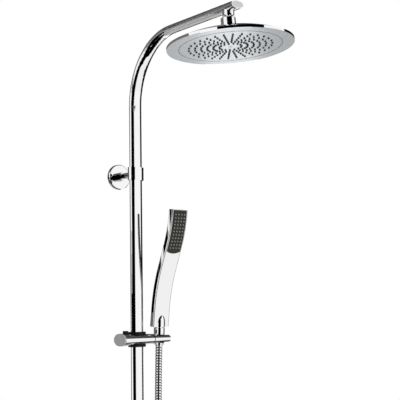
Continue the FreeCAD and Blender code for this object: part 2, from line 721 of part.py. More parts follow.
nipple_top = size.thread_long - size.valve_below
nipple_low = -size.valve_below - size.nipple_flange
nipple_end = nipple_low - size.thread_long
keep(turned("hose_outlet_nipple", [
    (size.hose_bore, nipple_end), (size.thread_radius, nipple_end),
    (size.thread_radius, nipple_low), (size.nipple_radius, nipple_low),
    (size.nipple_radius, -size.valve_below), (size.thread_radius, -size.valve_below),
    (size.thread_radius, nipple_top), (size.hose_bore, nipple_top)]), riser_foot_spot)
nut_bore = size.thread_radius + size.seat_fit
neck_bore = size.insert_neck + size.seat_fit
barb_radius = size.hose_bore - size.seat_fit
lower_flange = nipple_end - size.washer_thick
lower_shelf = lower_flange - size.insert_flange_thick
lower_end = lower_shelf - size.lower_nut_neck


def hose_insert(label, flange_face, shelf, end, tail):
    """A hollow barb with a flange, from the flange's face to the tail inside the hose."""
    return turned(label, [
        (size.insert_bore, flange_face), (size.insert_flange, flange_face),
        (size.insert_flange, shelf), (size.insert_neck, shelf), (size.insert_neck, end),
        (barb_radius, end), (barb_radius, tail), (size.insert_bore, tail)])


keep(ring("hose_lower_washer", size.insert_bore, size.insert_flange, lower_flange, nipple_end),
     riser_foot_spot)
keep(hose_insert("hose_lower_insert", lower_flange, lower_shelf, lower_end, lower_end - size.barb_long),
     riser_foot_spot)
nut_top = nipple_low - size.moving_gap
keep(turned("hose_lower_nut", [
    (nut_bore, nut_top), (size.lower_nut_radius, nut_top), (size.lower_nut_radius, lower_shelf),
    (size.hose_radius, lower_end), (neck_bore, lower_end), (neck_bore, lower_shelf),
    (nut_bore, lower_shelf)]), riser_foot_spot)

# Wall bracket: a collar on the riser, a stem, and a plate with two screws under the upper rosette

collar_wide = size.riser_wide + size.collar_wall * 2
collar_deep = size.riser_deep + size.collar_wall * 2
grip_wide = size.riser_wide + size.seat_fit * 2
grip_deep = size.riser_deep + size.seat_fit * 2


def collar_section(sketch):
    oval(sketch, collar_wide, collar_deep)
    oval(sketch, grip_wide, grip_deep)


collar_blank = padded("collar_blank", collar_section, -size.collar_tall / 2, size.collar_tall)
stem_hole = rod(size.stem_thread + size.seat_fit, collar_deep, (0, 0, 0), TO_WALL)
keep(cut("riser_collar", collar_blank, stem_hole), collar_spot)
cover_front = size.riser_reach - size.cover_high
plate_front = size.riser_reach - size.plate_thick
stem_front = collar_deep / 2
barrel_front = cover_front - size.stem_barrel_long
boss_front = plate_front - size.plate_boss_long
socket_floor = boss_front - size.moving_gap
boss_bore = size.plate_boss + size.seat_fit
stem_grub_spot = plate_front - size.plate_boss_long + size.grub_radius * 2
stem_blank = turned("stem_blank", [
    (0, grip_deep / 2), (size.stem_thread, grip_deep / 2), (size.stem_thread, stem_front),
    (size.stem_neck, stem_front), (size.stem_neck, barrel_front), (size.stem_barrel, barrel_front),
    (size.stem_barrel, plate_front), (boss_bore, plate_front), (boss_bore, socket_floor), (0, socket_floor)])
keep(cut("bracket_stem", stem_blank, rod(size.grub_radius + size.seat_fit, size.stem_barrel,
                                         (0, 0, stem_grub_spot), TO_WALL)), collar_spot, TO_WALL)
keep(rod(size.grub_radius, size.stem_barrel - boss_bore, (0, 0, 0)),
     (0, stem_grub_spot - size.riser_reach, size.collar_height - boss_bore), Rotation(Vector(1, 0, 0), 180))
pieces[-1].Label = "stem_grub_screw"
keep(rosette("upper_wall_rosette", size.cover_radius, size.stem_barrel + size.seat_fit, cover_front),
     collar_spot, TO_WALL)
plate_blank = turned("plate_blank", [
    (0, boss_front), (size.plate_boss, boss_front), (size.plate_boss, plate_front),
    (size.plate_radius, plate_front), (size.plate_radius, size.riser_reach), (0, size.riser_reach)])
plate_tools = []
screws = []
for side in (-1, 1):
    lift = size.screw_offset * side
    plate_tools.append(rod(size.screw_neck + size.seat_fit, size.plate_thick, (0, lift, plate_front)))
    plate_tools.append(cone(size.screw_head + size.seat_fit, size.screw_neck + size.seat_fit,
                            size.screw_head_deep, (0, lift, plate_front)))
    head = cone(size.screw_head, size.screw_neck, size.screw_head_deep, (0, lift, plate_front))
    neck = rod(size.screw_neck, size.plate_thick - size.screw_head_deep,
               (0, lift, plate_front + size.screw_head_deep))
    thread = rod(size.screw_radius, size.screw_long - size.plate_thick, (0, lift, size.riser_reach))
    screws.append(fused("wall_screw", head, neck, thread))
keep(cut("upper_wall_plate", plate_blank, *plate_tools), collar_spot, TO_WALL)
keep(group("upper_wall_screws", *screws), collar_spot, TO_WALL)

# Ball joint: a neck fixed in the arm, a stud with a hollow ball, and a slip ring round the ball

neck_spot = (0, -size.riser_reach - neck_reach, size.arm_height)
stud_bore = size.stud_thread + size.seat_fit
stud_top = size.stud_thread_long - size.stub_drop
keep(turned("arm_outlet_stub", [
    (stud_bore, -size.stub_drop), (size.stub_radius, -size.stub_drop), (size.stub_radius, 0),
    (size.stub_bore, 0), (size.stub_bore, stud_top), (stud_bore, stud_top)]), neck_spot)
neck_low = root(size.ball_radius * size.ball_radius - size.stud_neck * size.stud_neck)
bore_low = root(size.ball_radius * size.ball_radius - size.ball_bore * size.ball_bore)
thread_top = size.stud_neck_long + size.stud_thread_long
keep(turned("ball_stud", [
    (size.ball_bore, -bore_low), (size.ball_radius, 0, size.ball_radius),
    (size.stud_neck, neck_low, size.ball_radius), (size.stud_neck, size.stud_neck_long),
    (size.stud_thread, size.stud_neck_long), (size.stud_thread, thread_top),
    (size.ball_bore, thread_top)]), head_spot)
ring_inside = size.ball_radius + size.running_fit
ring_outside = ring_inside + size.ring_thick
cup_radius = ring_outside + size.running_fit


def on_sphere(radius, height):
    """Radius of a sphere's slice at a height above its centre."""
    return root(radius * radius - height * height)


keep(turned("ball_ring", [
    (on_sphere(ring_inside, size.ring_low), size.ring_low, -ring_inside),
    (on_sphere(ring_outside, size.ring_low), size.ring_low),
    (on_sphere(ring_outside, size.ring_top), size.ring_top, ring_outside),
    (on_sphere(ring_inside, size.ring_top), size.ring_top)]), head_spot, HEAD_TURN)

# Union nut: screwed on the head's socket, it holds the ball from above

socket_outside = cup_radius + size.seat_fit
mouth_height = on_sphere(cup_radius, size.union_mouth)
keep(turned("head_union_nut", [
    (size.union_mouth, mouth_height, cup_radius), (size.union_mouth, size.union_top),
    (size.union_radius - size.union_edge, size.union_top),
    (size.union_radius, size.union_top - size.union_edge), (size.union_radius, -size.union_low),
    (socket_outside, -size.union_low), (socket_outside, 0), (cup_radius, 0)]), head_spot, HEAD_TURN)

# Head shell: a threaded socket for the ball, a boss, and a thin dome with an upright edge

socket_rim = socket_outside - size.seat_fit
socket_inside = socket_rim - size.socket_wall
boss_top = -size.union_low - size.seat_fit
edge_top = size.head_edge - size.head_drop
face_back = size.face_thick - size.head_drop
shell_inside = size.head_radius - size.head_shell
chamber_top = -size.head_boss_low - size.head_shell
keep(turned("head_top_shell", [
    (size.stub_bore, -size.seat_low), (socket_inside, -size.seat_low), (socket_inside, -size.socket_top),
    (socket_rim, -size.socket_top), (socket_rim, boss_top), (size.head_boss, boss_top),
    (size.head_boss, -size.head_boss_low), (size.head_radius, edge_top, -size.dome_radius),
    (size.head_radius, -size.head_drop), (shell_inside, -size.head_drop),
    (shell_inside, face_back + size.seat_fit),
    (size.head_boss, chamber_top, size.dome_radius - size.head_shell),
    (size.stub_bore, chamber_top)]), head_spot, HEAD_TURN)
seal_inside = on_sphere(size.ball_radius, size.seat_low - size.seal_thick) + size.moving_gap
keep(ring("ball_seal", seal_inside, socket_inside - size.seat_fit,
          -size.seat_low, size.seal_thick - size.seat_low), head_spot, HEAD_TURN)

# Head face: rim ring, face plate with a hole for every nozzle, rubber mat, back plate and screw

mat_back = face_back + size.mat_thick
plate_back = mat_back + size.back_thick
rim_inside = size.face_radius + size.face_gap
keep(ring("head_rim_ring", rim_inside, shell_inside - size.seat_fit, -size.head_drop, face_back),
     head_spot, HEAD_TURN)


def patterned(body, feature, count):
    """Repeat a feature round the body's Z axis and make it the body's result."""
    pattern = body.newObject("PartDesign::PolarPattern", body.Name + "_round")
    pattern.Originals = [feature]
    axis = [item for item in body.Origin.OriginFeatures if item.Role == "Z_Axis"][0]
    pattern.Axis = (axis, [""])
    pattern.Angle = 360.0
    pattern.Occurrences = count
    body.Tip = pattern


def arm_row(sketch, radius):
    for i in range(HEAD_NOZZLES_PER_ARM):
        circle(sketch, radius, size.nozzle_first + size.nozzle_step * i)


def inner_nozzle(sketch, radius):
    circle(sketch, radius, size.nozzle_inner)


NOZZLE_ROWS = ((arm_row, HEAD_ARMS), (inner_nozzle, HEAD_INNER_NOZZLES))


def nozzle_features(body, kind, lift, radius, length):
    """Cut or raise every nozzle of the head, one feature for each kind of row."""
    for draw, count in NOZZLE_ROWS:
        sketch = sketch_on(body, "XY_Plane", lift)
        draw(sketch, radius)
        feature = body.newObject(kind, body.Name + "_nozzles")
        feature.Profile = sketch
        bind(feature, "Length", length)
        patterned(body, feature, count)


countersink = size.centre_head - size.centre_screw
face = turned("head_face_plate", [
    (size.centre_head + size.seat_fit, -size.head_drop), (size.face_radius, -size.head_drop),
    (size.face_radius, face_back), (size.centre_screw + size.seat_fit, face_back),
    (size.centre_screw + size.seat_fit, countersink - size.head_drop)])
nozzle_features(face, "PartDesign::Pocket", face_back, size.nozzle_radius + size.seat_fit, size.face_thick)
keep(face, head_spot, NOZZLE_TURN)
mat_edge = size.face_radius - size.head_shell
mat = ring("head_nozzle_mat", size.centre_screw + size.seat_fit, mat_edge, face_back, mat_back)
nozzle_features(mat, "PartDesign::Pad", -size.head_drop - size.nozzle_stand, size.nozzle_radius,
                size.face_thick + size.nozzle_stand)
keep(mat, head_spot, NOZZLE_TURN)
keep(ring("head_back_plate", size.centre_screw + size.seat_fit, mat_edge, mat_back, plate_back),
     head_spot, HEAD_TURN)
keep(turned("head_centre_screw", [
    (0, -size.head_drop), (size.centre_head, -size.head_drop),
    (size.centre_screw, countersink - size.head_drop), (size.centre_screw, plate_back), (0, plate_back)]),
     head_spot, HEAD_TURN)

# Slider: an oval bar across the riser with black bushes, a button, its spring and a clamp shoe

bar_start = size.end_cap_thick - size.slider_end
bush_hole_wide = size.bush_wide + size.seat_fit * 2
bush_hole_deep = size.bush_deep + size.seat_fit * 2
pocket_wide = size.button_wide + size.button_gap * 2
pocket_tall = size.button_top + size.pocket_low
slot_wide = size.shoe_wide + size.seat_fit * 2
slot_tall = size.shoe_tall + size.seat_fit * 2
bar = tapered_bar("slider_bar", bar_start, size.slider_deep, size.slider_tall,
                  size.slider_joint, size.joint_deep, size.joint_tall)
bush_hole = padded("bush_hole", lambda sketch: oval(sketch, bush_hole_wide, bush_hole_deep),
                   -size.slider_tall / 2, size.slider_tall)
keep(cut("slider_body", bar, bush_hole,
         block(pocket_wide, pocket_wide, pocket_tall,
               (-size.button_offset - pocket_wide / 2, -pocket_wide / 2, -size.pocket_low)),
         block(size.button_offset, slot_wide, slot_tall,
               (-size.button_offset, -slot_wide / 2, -slot_tall / 2)),
         rod(size.peg_seat + size.seat_fit, size.peg_long + size.moving_gap, (bar_start, 0, 0), ALONG_X),
         rod(size.pivot_radius + size.running_fit, size.slider_joint - size.pivot_start,
             (size.pivot_start, 0, 0), ALONG_X)), slider_spot)
cap_blank = padded("cap_blank", lambda sketch: oval(sketch, size.slider_deep, size.slider_tall),
                   -size.slider_end, size.end_cap_thick, "YZ_Plane")
keep(fused("slider_end_cap", cap_blank,
           rod(size.peg_seat, size.peg_long + size.end_cap_thick, (-size.slider_end, 0, 0), ALONG_X)),
     slider_spot)
slide_wide = size.riser_wide + size.running_fit * 2
slide_deep = size.riser_deep + size.running_fit * 2


def bush_section(sketch):
    oval(sketch, size.bush_wide, size.bush_deep)
    oval(sketch, slide_wide, slide_deep)


keep(padded("slider_bush_upper", bush_section, size.bush_split, size.bush_top - size.bush_split),
     slider_spot)
keep(padded("slider_bush_lower", bush_section, -size.bush_low, size.bush_low - size.bush_split), slider_spot)
button_left = -size.button_offset - size.button_wide / 2
keep(block(size.button_wide, size.button_wide, size.button_top - size.button_foot, (0, 0, 0)),
     (button_left, -size.riser_reach - size.button_wide / 2, size.slider_height + size.button_foot))
pieces[-1].Label = "lock_button"
keep(ring("button_spring", size.spring_radius - size.spring_wire, size.spring_radius,
          -size.pocket_low, size.button_foot),
     (-size.button_offset, -size.riser_reach, size.slider_height))
shoe_left = pocket_wide / 2 - size.button_offset
shoe_right = -size.riser_wide / 2 - size.moving_gap
keep(block(shoe_right - shoe_left, size.shoe_wide, size.shoe_tall, (0, 0, 0)),
     (shoe_left, -size.riser_reach - size.shoe_wide / 2, size.slider_height - size.shoe_tall / 2))
pieces[-1].Label = "clamp_shoe"

# Holder: turns on its spigot in the bar, with a conical hole and an open slot for the hose

holder_start = size.slider_joint + size.washer_gap
friction_groove = size.pivot_radius + size.running_fit - size.seal_round * 2 - size.seat_fit * 2
groove_middle = size.pivot_groove + groove_half
holder_bar = tapered_bar("holder_bar", holder_start, size.joint_deep, size.joint_tall,
                         size.holder_end, size.holder_deep, size.holder_tall)
spigot = place(turned("holder_spigot", [
    (0, size.pivot_start + size.moving_gap), (size.pivot_radius, size.pivot_start + size.moving_gap),
    (size.pivot_radius, groove_middle - groove_half), (friction_groove, groove_middle - groove_half),
    (friction_groove, groove_middle + groove_half), (size.pivot_radius, groove_middle + groove_half),
    (size.pivot_radius, holder_start), (0, holder_start)]), (0, 0, 0), ALONG_X)
cone_middle = (size.cone_wide + size.cone_narrow) / 2
cone_slope = (size.cone_wide - size.cone_narrow) / (size.cone_half * 2)
liner_inside = cone_middle + size.liner_gap
liner_outside = liner_inside + size.liner_wall
hole_middle = liner_outside + size.seat_fit
hole_half = size.joint_tall
hole_low = hole_middle - cone_slope * hole_half
hole_high = hole_middle + cone_slope * hole_half
lean_sine = sine(size.cone_lean)
lean_cosine = cosine(size.cone_lean)
half_slot = size.slot_wide / 2
cone_hole = cone(hole_low, hole_high, hole_half * 2,
                 (size.holder_offset, lean_sine * hole_half, -lean_cosine * hole_half), CONE_TURN)
hose_slot = block(size.holder_end - size.holder_offset, size.slot_wide, hole_half * 2,
                  (size.holder_offset, lean_sine * hole_half - lean_cosine * half_slot,
                   -lean_cosine * hole_half - lean_sine * half_slot), CONE_TURN)
keep(cut("handset_holder", fused("holder_blank", holder_bar, spigot), cone_hole, hose_slot), slider_spot)
keep(seal_ring(friction_groove + size.seal_round + size.seat_fit, size.seal_round, (0, 0, 0)),
     (groove_middle, -size.riser_reach, size.slider_height), ALONG_X)
pieces[-1].Label = "holder_friction_ring"


def washer_section(sketch):
    oval(sketch, size.joint_deep - size.washer_inset * 2, size.joint_tall - size.washer_inset * 2)
    circle(sketch, size.pivot_radius + size.running_fit)


keep(padded("holder_washer", washer_section, size.slider_joint + size.washer_slack,
            size.washer_gap - size.washer_slack * 2, "YZ_Plane"), slider_spot)
keep(turned("holder_liner", [
    (liner_inside - cone_slope * size.liner_half, -size.liner_half),
    (liner_outside - cone_slope * size.liner_half, -size.liner_half),
    (liner_outside + cone_slope * size.liner_half, size.liner_half),
    (liner_inside + cone_slope * size.liner_half, size.liner_half)], size.liner_turn),
     handset_spot, LINER_TURN)

# Upper end of the hose: a cone nut on the handset's thread, with an insert and a washer inside

thread_end = size.stick_bottom - size.moving_gap - size.thread_long
upper_flange = thread_end - size.washer_thick
upper_shelf = upper_flange - size.insert_flange_thick
keep(turned("hose_cone_nut", [
    (nut_bore, upper_shelf), (nut_bore, size.cone_top), (size.cone_wide, size.cone_top),
    (size.cone_wide, size.cone_half), (size.cone_narrow, -size.cone_half),
    (neck_bore, -size.cone_half), (neck_bore, upper_shelf)]), handset_spot, CONE_TURN)
keep(hose_insert("hose_upper_insert", upper_flange, upper_shelf, -size.cone_half,
                 -size.cone_half - size.barb_long), handset_spot, CONE_TURN)
keep(ring("hose_upper_washer", size.insert_bore, size.insert_flange, upper_flange,
          thread_end - size.seat_fit),
     handset_spot, CONE_TURN)

# Handset: a flat tube that bows forward and back again along one spine

bow_sine = sine(size.bow_angle)
bow_cosine = cosine(size.bow_angle)
bend_start = size.stick_bottom + size.stick_base
first_end = bend_start + size.bow_low * bow_sine
second_start = first_end + size.stick_middle * bow_cosine
second_end = second_start + size.bow_high * bow_sine
shift_first = size.bow_low * (bow_cosine - 1)
shift_second = shift_first - size.stick_middle * bow_sine
stick_shift = shift_second + size.bow_high * (bow_cosine - 1)
stick_top = second_end + size.stick_head
stick_spot = (size.holder_offset, cosine(size.stick_lean) * size.stick_back - size.riser_reach,
              size.slider_height + sine(size.stick_lean) * size.stick_back)
inlet_spot = (0, -size.stick_back, 0)
STICK_SPINE = [
    (0, size.stick_bottom), (0, bend_start), (shift_first, first_end, size.bow_low),
    (shift_second, second_start), (stick_shift, second_end, -size.bow_high), (stick_shift, stick_top)]
STICK_EDGES = ["Edge1", "Edge2", "Edge3", "Edge4", "Edge5"]
inner_wide = size.stick_wide - size.stick_wall * 2
inner_deep = size.stick_deep - size.stick_wall * 2
inner_round = size.stick_round - size.stick_wall
stick_front = -size.stick_deep / 2
wall_back = stick_front + size.stick_wall


def along_stick(label, draw):
    return swept(label, draw, size.stick_bottom, STICK_SPINE, STICK_EDGES)


def stick_section(sketch):
    rounded(sketch, size.stick_wide, size.stick_deep, size.stick_round)
    rounded(sketch, inner_wide, inner_deep, inner_round)


def spray_slab(label, front, back, margin):
    """A layer of the bowed handset inside the spray face's outline, as seen from the front."""
    half = size.spray_wide / 2 + margin
    top = stick_top - size.spray_margin + margin
    low = stick_top - size.spray_long - margin
    corner = low + size.spray_round - root(size.spray_round * size.spray_round - half * half)
    layer = along_stick(label + "_layer", lambda sketch: rectangle(sketch, -half, half, front, back))
    shape = [(half, corner, size.spray_round), (half, top), (-half, top), (-half, corner)]
    window = padded(label + "_window", lambda sketch: outline(sketch, shape),
                    -size.stick_deep, size.stick_deep * 2 - stick_shift, "XZ_Plane")
    return common(label, layer, window)


def stick_stretch(label, draw, low, high):
    """A length of something that follows the handset's spine."""
    follower = along_stick(label + "_run", draw)
    reach = size.stick_deep * 2 - stick_shift
    return common(label, follower, block(size.stick_wide, reach, high - low, (
        -size.stick_wide / 2, size.stick_deep - reach, low)))


inlet_shoulder = size.stick_bottom - size.moving_gap
dome_start = size.connector_top - size.connector_dome
tip_inset = size.connector_radius - size.connector_tip
dome_arc = (tip_inset * tip_inset + size.connector_dome * size.connector_dome) / (tip_inset * 2)


def connector_profile(margin):
    """The inlet tube's outside: straight, then rounded in at the top."""
    return [(size.connector_radius + margin, inlet_shoulder),
            (size.connector_radius + margin, dome_start),
            (size.connector_tip + margin, size.connector_top, dome_arc)]


def behind(depth):
    """Everything behind a depth in the handset's foot."""
    side = size.connector_radius * 4
    return block(side, side, size.connector_top * 2, (-side / 2, depth, size.stick_bottom))


tube_hole = cut("connector_hole", place(turned("connector_room", [
    (0, inlet_shoulder)] + connector_profile(size.seat_fit) + [
    (size.connector_tip + size.seat_fit, size.connector_top + size.seat_fit),
    (0, size.connector_top + size.seat_fit)]), inlet_spot, INLET_TURN), behind(inner_deep / 2))
stick = along_stick("stick_tube", stick_section)
spray_hole = spray_slab("spray_hole", stick_front - size.stick_wall, wall_back + size.moving_gap,
                        size.seat_fit)
keep(cut("handset_body", stick, tube_hole, spray_hole), stick_spot, STICK_TURN)
end_wide = inner_wide - size.seat_fit * 2
end_deep = inner_deep - size.seat_fit * 2
keep(padded("handset_top_cap", lambda sketch: rounded(sketch, end_wide, end_deep, inner_round, stick_shift),
            stick_top - size.cap_thick, size.cap_thick), stick_spot, STICK_TURN)

# Inlet tube of the handset: thread below, a bottom plate across the handset, a rounded top that sinks
# into the handset because the tube stands more upright, cut flat where it meets the back wall

inlet_tube = place(turned("inlet_tube", [
    (0, thread_end), (size.thread_radius, thread_end),
    (size.thread_radius, inlet_shoulder)] + connector_profile(0) + [(0, size.connector_top)]),
    inlet_spot, INLET_TURN)
bottom_plate = padded("bottom_plate", lambda sketch: rounded(sketch, end_wide, end_deep, inner_round),
                      size.stick_bottom, size.cap_thick)
inlet_bore = place(turned("inlet_bore", [
    (0, thread_end), (size.insert_bore, thread_end), (size.insert_bore, dome_start), (0, dome_start)]),
    inlet_spot, INLET_TURN)
socket_low = dome_start - size.cap_thick
keep(cut("handset_connector", fused("connector_blank", inlet_tube, bottom_plate), inlet_bore,
         behind(end_deep / 2), rod(size.waterway_radius, size.connector_top - socket_low,
                                   (0, -size.waterway_ahead, socket_low))), stick_spot, STICK_TURN)

# Water's way in the handset: a bowed tube into a shallow chamber behind the spray face

chamber_low = stick_top - size.spray_long - size.spray_margin
chamber_high = stick_top - size.cap_thick - size.seat_fit
chamber_half = inner_wide / 2 - size.stick_wall
chamber_front = wall_back + size.moving_gap
chamber_back = inner_deep / 2 - size.seat_fit
hollow_half = chamber_half - size.chamber_wall
hollow_back = chamber_back - size.chamber_wall
chamber = stick_stretch("chamber_block", lambda sketch: rectangle(
    sketch, -chamber_half, chamber_half, chamber_front, chamber_back), chamber_low, chamber_high)
hollow = stick_stretch("chamber_hollow", lambda sketch: rectangle(
    sketch, -hollow_half, hollow_half, stick_front, hollow_back),
    chamber_low + size.chamber_wall, chamber_high - size.chamber_wall)


def waterway_section(sketch):
    circle(sketch, size.waterway_radius - size.seat_fit, 0, -size.waterway_ahead)
    circle(sketch, size.waterway_bore, 0, -size.waterway_ahead)


keep(cut("spray_chamber", chamber, hollow), stick_spot, STICK_TURN)
keep(stick_stretch("handset_waterway", waterway_section, dome_start, chamber_low), stick_spot, STICK_TURN)

# Spray face with its pale rubber nozzles, in rows that follow the handset's bow


def stick_point(height):
    """Forward shift and lean, in radians, of the handset's spine at a height."""
    radius = float(size.bow_high)
    bow = math.radians(float(size.bow_angle))
    if height > float(second_end):
        return float(stick_shift), 0.0
    if height > float(second_start):
        lean = math.asin((float(second_end) - height) / radius)
        return float(stick_shift) + radius * (1 - math.cos(lean)), lean
    return float(shift_first) - (height - float(first_end)) * math.tan(bow), bow


def spray_nozzles(margin):
    """Every nozzle as a short rod square to the face."""
    rods = []
    radius = float(size.spray_nozzle) + margin
    long = float(size.stick_wall) + float(size.spray_stand)
    for row in range(SPRAY_ROWS):
        height = float(stick_top) - float(size.spray_first) - float(size.spray_pitch_along) * row
        shift, lean = stick_point(height)
        out = Vector(0, -math.cos(lean), -math.sin(lean))
        foot = Vector(0, shift, height) + out * -float(wall_back)
        for column in range(SPRAY_COLUMNS):
            across = (column - (SPRAY_COLUMNS - 1) / 2) * float(size.spray_pitch_across)
            rods.append(Part.makeCylinder(radius, long, foot + Vector(across, 0, 0), out))
    return rods


nozzle_holes = doc.addObject("Part::Feature", "spray_nozzle_holes")
nozzle_holes.Shape = Part.makeCompound(spray_nozzles(float(size.seat_fit)))
face_slab = spray_slab("spray_slab", stick_front, wall_back, 0)
keep(cut("spray_face", face_slab, nozzle_holes), stick_spot, STICK_TURN)
nozzle_group = doc.addObject("Part::Feature", "spray_nozzles")
nozzle_group.Shape = Part.makeCompound(spray_nozzles(0.0))
keep(nozzle_group, stick_spot, STICK_TURN)

# Hose: a ribbed metal tube that hangs from the cone nut in a loop to the diverter's outlet


def global_spot(spot):
    return Vector(*[float(value) for value in spot])


hose_top = global_spot(handset_spot) + CONE_TURN.multVec(Vector(0, 0, -float(size.cone_half)))
hose_heading = CONE_TURN.multVec(Vector(0, 0, -1))
hose_foot = global_spot(riser_foot_spot) + Vector(0, 0, float(lower_end))
FIRST_RUN = 84.0
LAST_RUN = 61.0
HOSE_ROUTE = [
    hose_top,
    hose_top + hose_heading * FIRST_RUN,
    Vector(56.0, -55.0, 250.0),
    Vector(65.0, -53.0, 118.0),
    Vector(84.0, -54.0, -16.0),
    Vector(103.0, -57.0, -146.0),
    Vector(107.0, -60.0, -232.0),
    Vector(105.0, -61.0, -315.0),
    Vector(57.0, -62.0, -364.0),
    Vector(-13.0, -63.0, -364.0),
    Vector(-62.0, -64.0, -315.0),
    Vector(-57.0, -64.5, -230.0),
    Vector(-24.0, -65.0, -174.0),
    hose_foot + Vector(0, 0, -LAST_RUN),
    hose_foot]
BEND_SHARE = 0.45


def hose_spans(route):
    """Straight runs and tangent arcs through the route, each as a start, heading, length and bend."""
    headings = [(after - before).normalize() for before, after in zip(route, route[1:])]
    lengths = [(after - before).Length for before, after in zip(route, route[1:])]
    spans = []
    spot = route[0]
    for i in range(1, len(route) - 1):
        turn = headings[i - 1].getAngle(headings[i])
        trim = BEND_SHARE * min(lengths[i - 1], lengths[i])
        start = route[i] - headings[i - 1] * trim
        spans.append((spot, headings[i - 1], (start - spot).Length, None, 0.0))
        radius = trim / math.tan(turn / 2)
        inward = (headings[i] - headings[i - 1] * math.cos(turn)).normalize()
        spans.append((start, headings[i - 1], radius * turn, inward, radius))
        spot = route[i] + headings[i] * trim
    spans.append((spot, headings[-1], (route[-1] - spot).Length, None, 0.0))
    return spans


def hose_point(spans, distance):
    """Place and heading at a distance along the hose."""
    index = 0
    while distance > spans[index][2] and index < len(spans) - 1:
        distance -= spans[index][2]
        index += 1
    start, heading, length, inward, radius = spans[index]
    distance = min(distance, length)
    if inward is None:
        return start + heading * distance, heading
    angle = distance / radius
    spot = start + heading * (radius * math.sin(angle)) + inward * (radius * (1 - math.cos(angle)))
    return spot, heading * math.cos(angle) + inward * math.sin(angle)


def hose_ring(spans, distance, radius):
    """A circle across the hose, its start kept on the same side all along."""
    spot, heading = hose_point(spans, distance)
    across = Vector(0, 1, 0) - heading * heading.y
    turn = Rotation(across, heading.cross(across), heading, "ZXY")
    wire = Part.Wire(Part.makeCircle(radius))
    wire.Placement = FreeCAD.Placement(spot, turn)
    return wire


hose_path = hose_spans(HOSE_ROUTE)
hose_length = sum(span[2] for span in hose_path)
crest = float(size.hose_radius)
valley = float(size.hose_valley)
bore = float(size.hose_bore)
plain_end = crest * 2
rib_pitch = (hose_length - plain_end * 2) / HOSE_RIBS
RIB_LEAD = 0.1
RIB_SLOPE = 0.2
RIB_CREST = 0.4
rib_valley = 1 - RIB_SLOPE * 2 - RIB_CREST
rib_shape = ((0.0, valley), (RIB_SLOPE, crest), (RIB_SLOPE + RIB_CREST, crest),
             (RIB_SLOPE * 2 + RIB_CREST, valley))
outer_rings = [hose_ring(hose_path, 0.0, crest), hose_ring(hose_path, plain_end, crest)]
inner_rings = [hose_ring(hose_path, 0.0, bore)]
for rib in range(HOSE_RIBS):
    for share, radius in rib_shape:
        distance = plain_end + (rib + RIB_LEAD + share) * rib_pitch
        outer_rings.append(hose_ring(hose_path, distance, radius))
    inner_rings.append(hose_ring(hose_path, plain_end + rib * rib_pitch, bore))
for distance in (hose_length - plain_end, hose_length):
    outer_rings.append(hose_ring(hose_path, distance, crest))
    inner_rings.append(hose_ring(hose_path, distance, bore))
faces = Part.makeLoft(outer_rings, False, True).Faces + Part.makeLoft(inner_rings, False, True).Faces
for outer, inner in ((outer_rings[0], inner_rings[0]), (outer_rings[-1], inner_rings[-1])):
    rim = Part.Face(outer)
    faces.append(rim.cut(Part.Face(inner)).Faces[0])
shell = Part.makeShell(faces)
shell.sewShape()
hose_solid = Part.makeSolid(shell)
if hose_solid.Volume < 0:
    hose_solid.reverse()
hose = doc.addObject("Part::Feature", "hose")
hose.Shape = hose_solid
keep(hose, (0, 0, 0))
print("hose length %.1f mm, arc radii %s" % (
    hose_length, ", ".join("%.0f" % span[4] for span in hose_path if span[3] is not None)))
slope_mean = (crest * crest + crest * valley + valley * valley) / 3
rib_mean = RIB_CREST * crest * crest + rib_valley * valley * valley + RIB_SLOPE * 2 * slope_mean
ribbed_long = hose_length - plain_end * 2
expected = math.pi * (rib_mean * ribbed_long + crest * crest * plain_end * 2 - bore * bore * hose_length)
print("hose volume %.0f mm3, mean section times length %.0f mm3" % (hose_solid.Volume, expected))
SAMPLES = 400
NEIGHBOURS = 24
samples = [hose_point(hose_path, hose_length * i / SAMPLES)[0] for i in range(SAMPLES + 1)]
least = min((a - b).Length for i, a in enumerate(samples) for b in samples[i + NEIGHBOURS:])
print("hose least gap to itself %.1f mm" % (least - crest * 2))

# Check every object, then write one file for each piece

doc.recompute()
failed = [item.Label for item in doc.Objects if "Invalid" in item.State or "Error" in item.State]
for item in pieces:
    if item.Shape.isNull() or not item.Shape.isValid() or not item.Shape.Solids:
        failed.append(item.Label)
if failed:
    raise RuntimeError("failed: " + ", ".join(failed))
os.makedirs("parts", exist_ok=True)
for item in pieces:
    item.Shape.exportStep("parts/%s.step" % item.Label)
    box = item.Shape.BoundBox
    print("%-22s %2d solids %10.0f mm3  x %.1f..%.1f y %.1f..%.1f z %.1f..%.1f" % (
        item.Label, len(item.Shape.Solids), item.Shape.Volume,
        box.XMin, box.XMax, box.YMin, box.YMax, box.ZMin, box.ZMax))
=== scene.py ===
import math

import bpy
import bmesh
from mathutils import Matrix, Vector


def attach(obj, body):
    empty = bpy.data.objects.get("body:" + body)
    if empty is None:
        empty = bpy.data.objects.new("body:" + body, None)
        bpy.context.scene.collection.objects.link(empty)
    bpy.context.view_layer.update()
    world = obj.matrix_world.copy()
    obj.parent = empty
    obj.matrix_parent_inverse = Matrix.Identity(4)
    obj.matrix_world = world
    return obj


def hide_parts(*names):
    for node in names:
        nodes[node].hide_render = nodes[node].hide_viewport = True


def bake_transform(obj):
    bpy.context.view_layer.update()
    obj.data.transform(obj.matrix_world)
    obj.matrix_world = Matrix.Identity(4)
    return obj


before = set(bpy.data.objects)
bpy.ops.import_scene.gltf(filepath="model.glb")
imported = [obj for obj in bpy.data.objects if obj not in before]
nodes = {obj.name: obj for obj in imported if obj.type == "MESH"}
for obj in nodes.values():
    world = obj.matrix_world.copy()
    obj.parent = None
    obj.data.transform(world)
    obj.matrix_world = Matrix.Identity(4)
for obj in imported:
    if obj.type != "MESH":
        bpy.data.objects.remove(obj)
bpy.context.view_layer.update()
scene = bpy.context.scene
scene.view_settings.view_transform = "Standard"

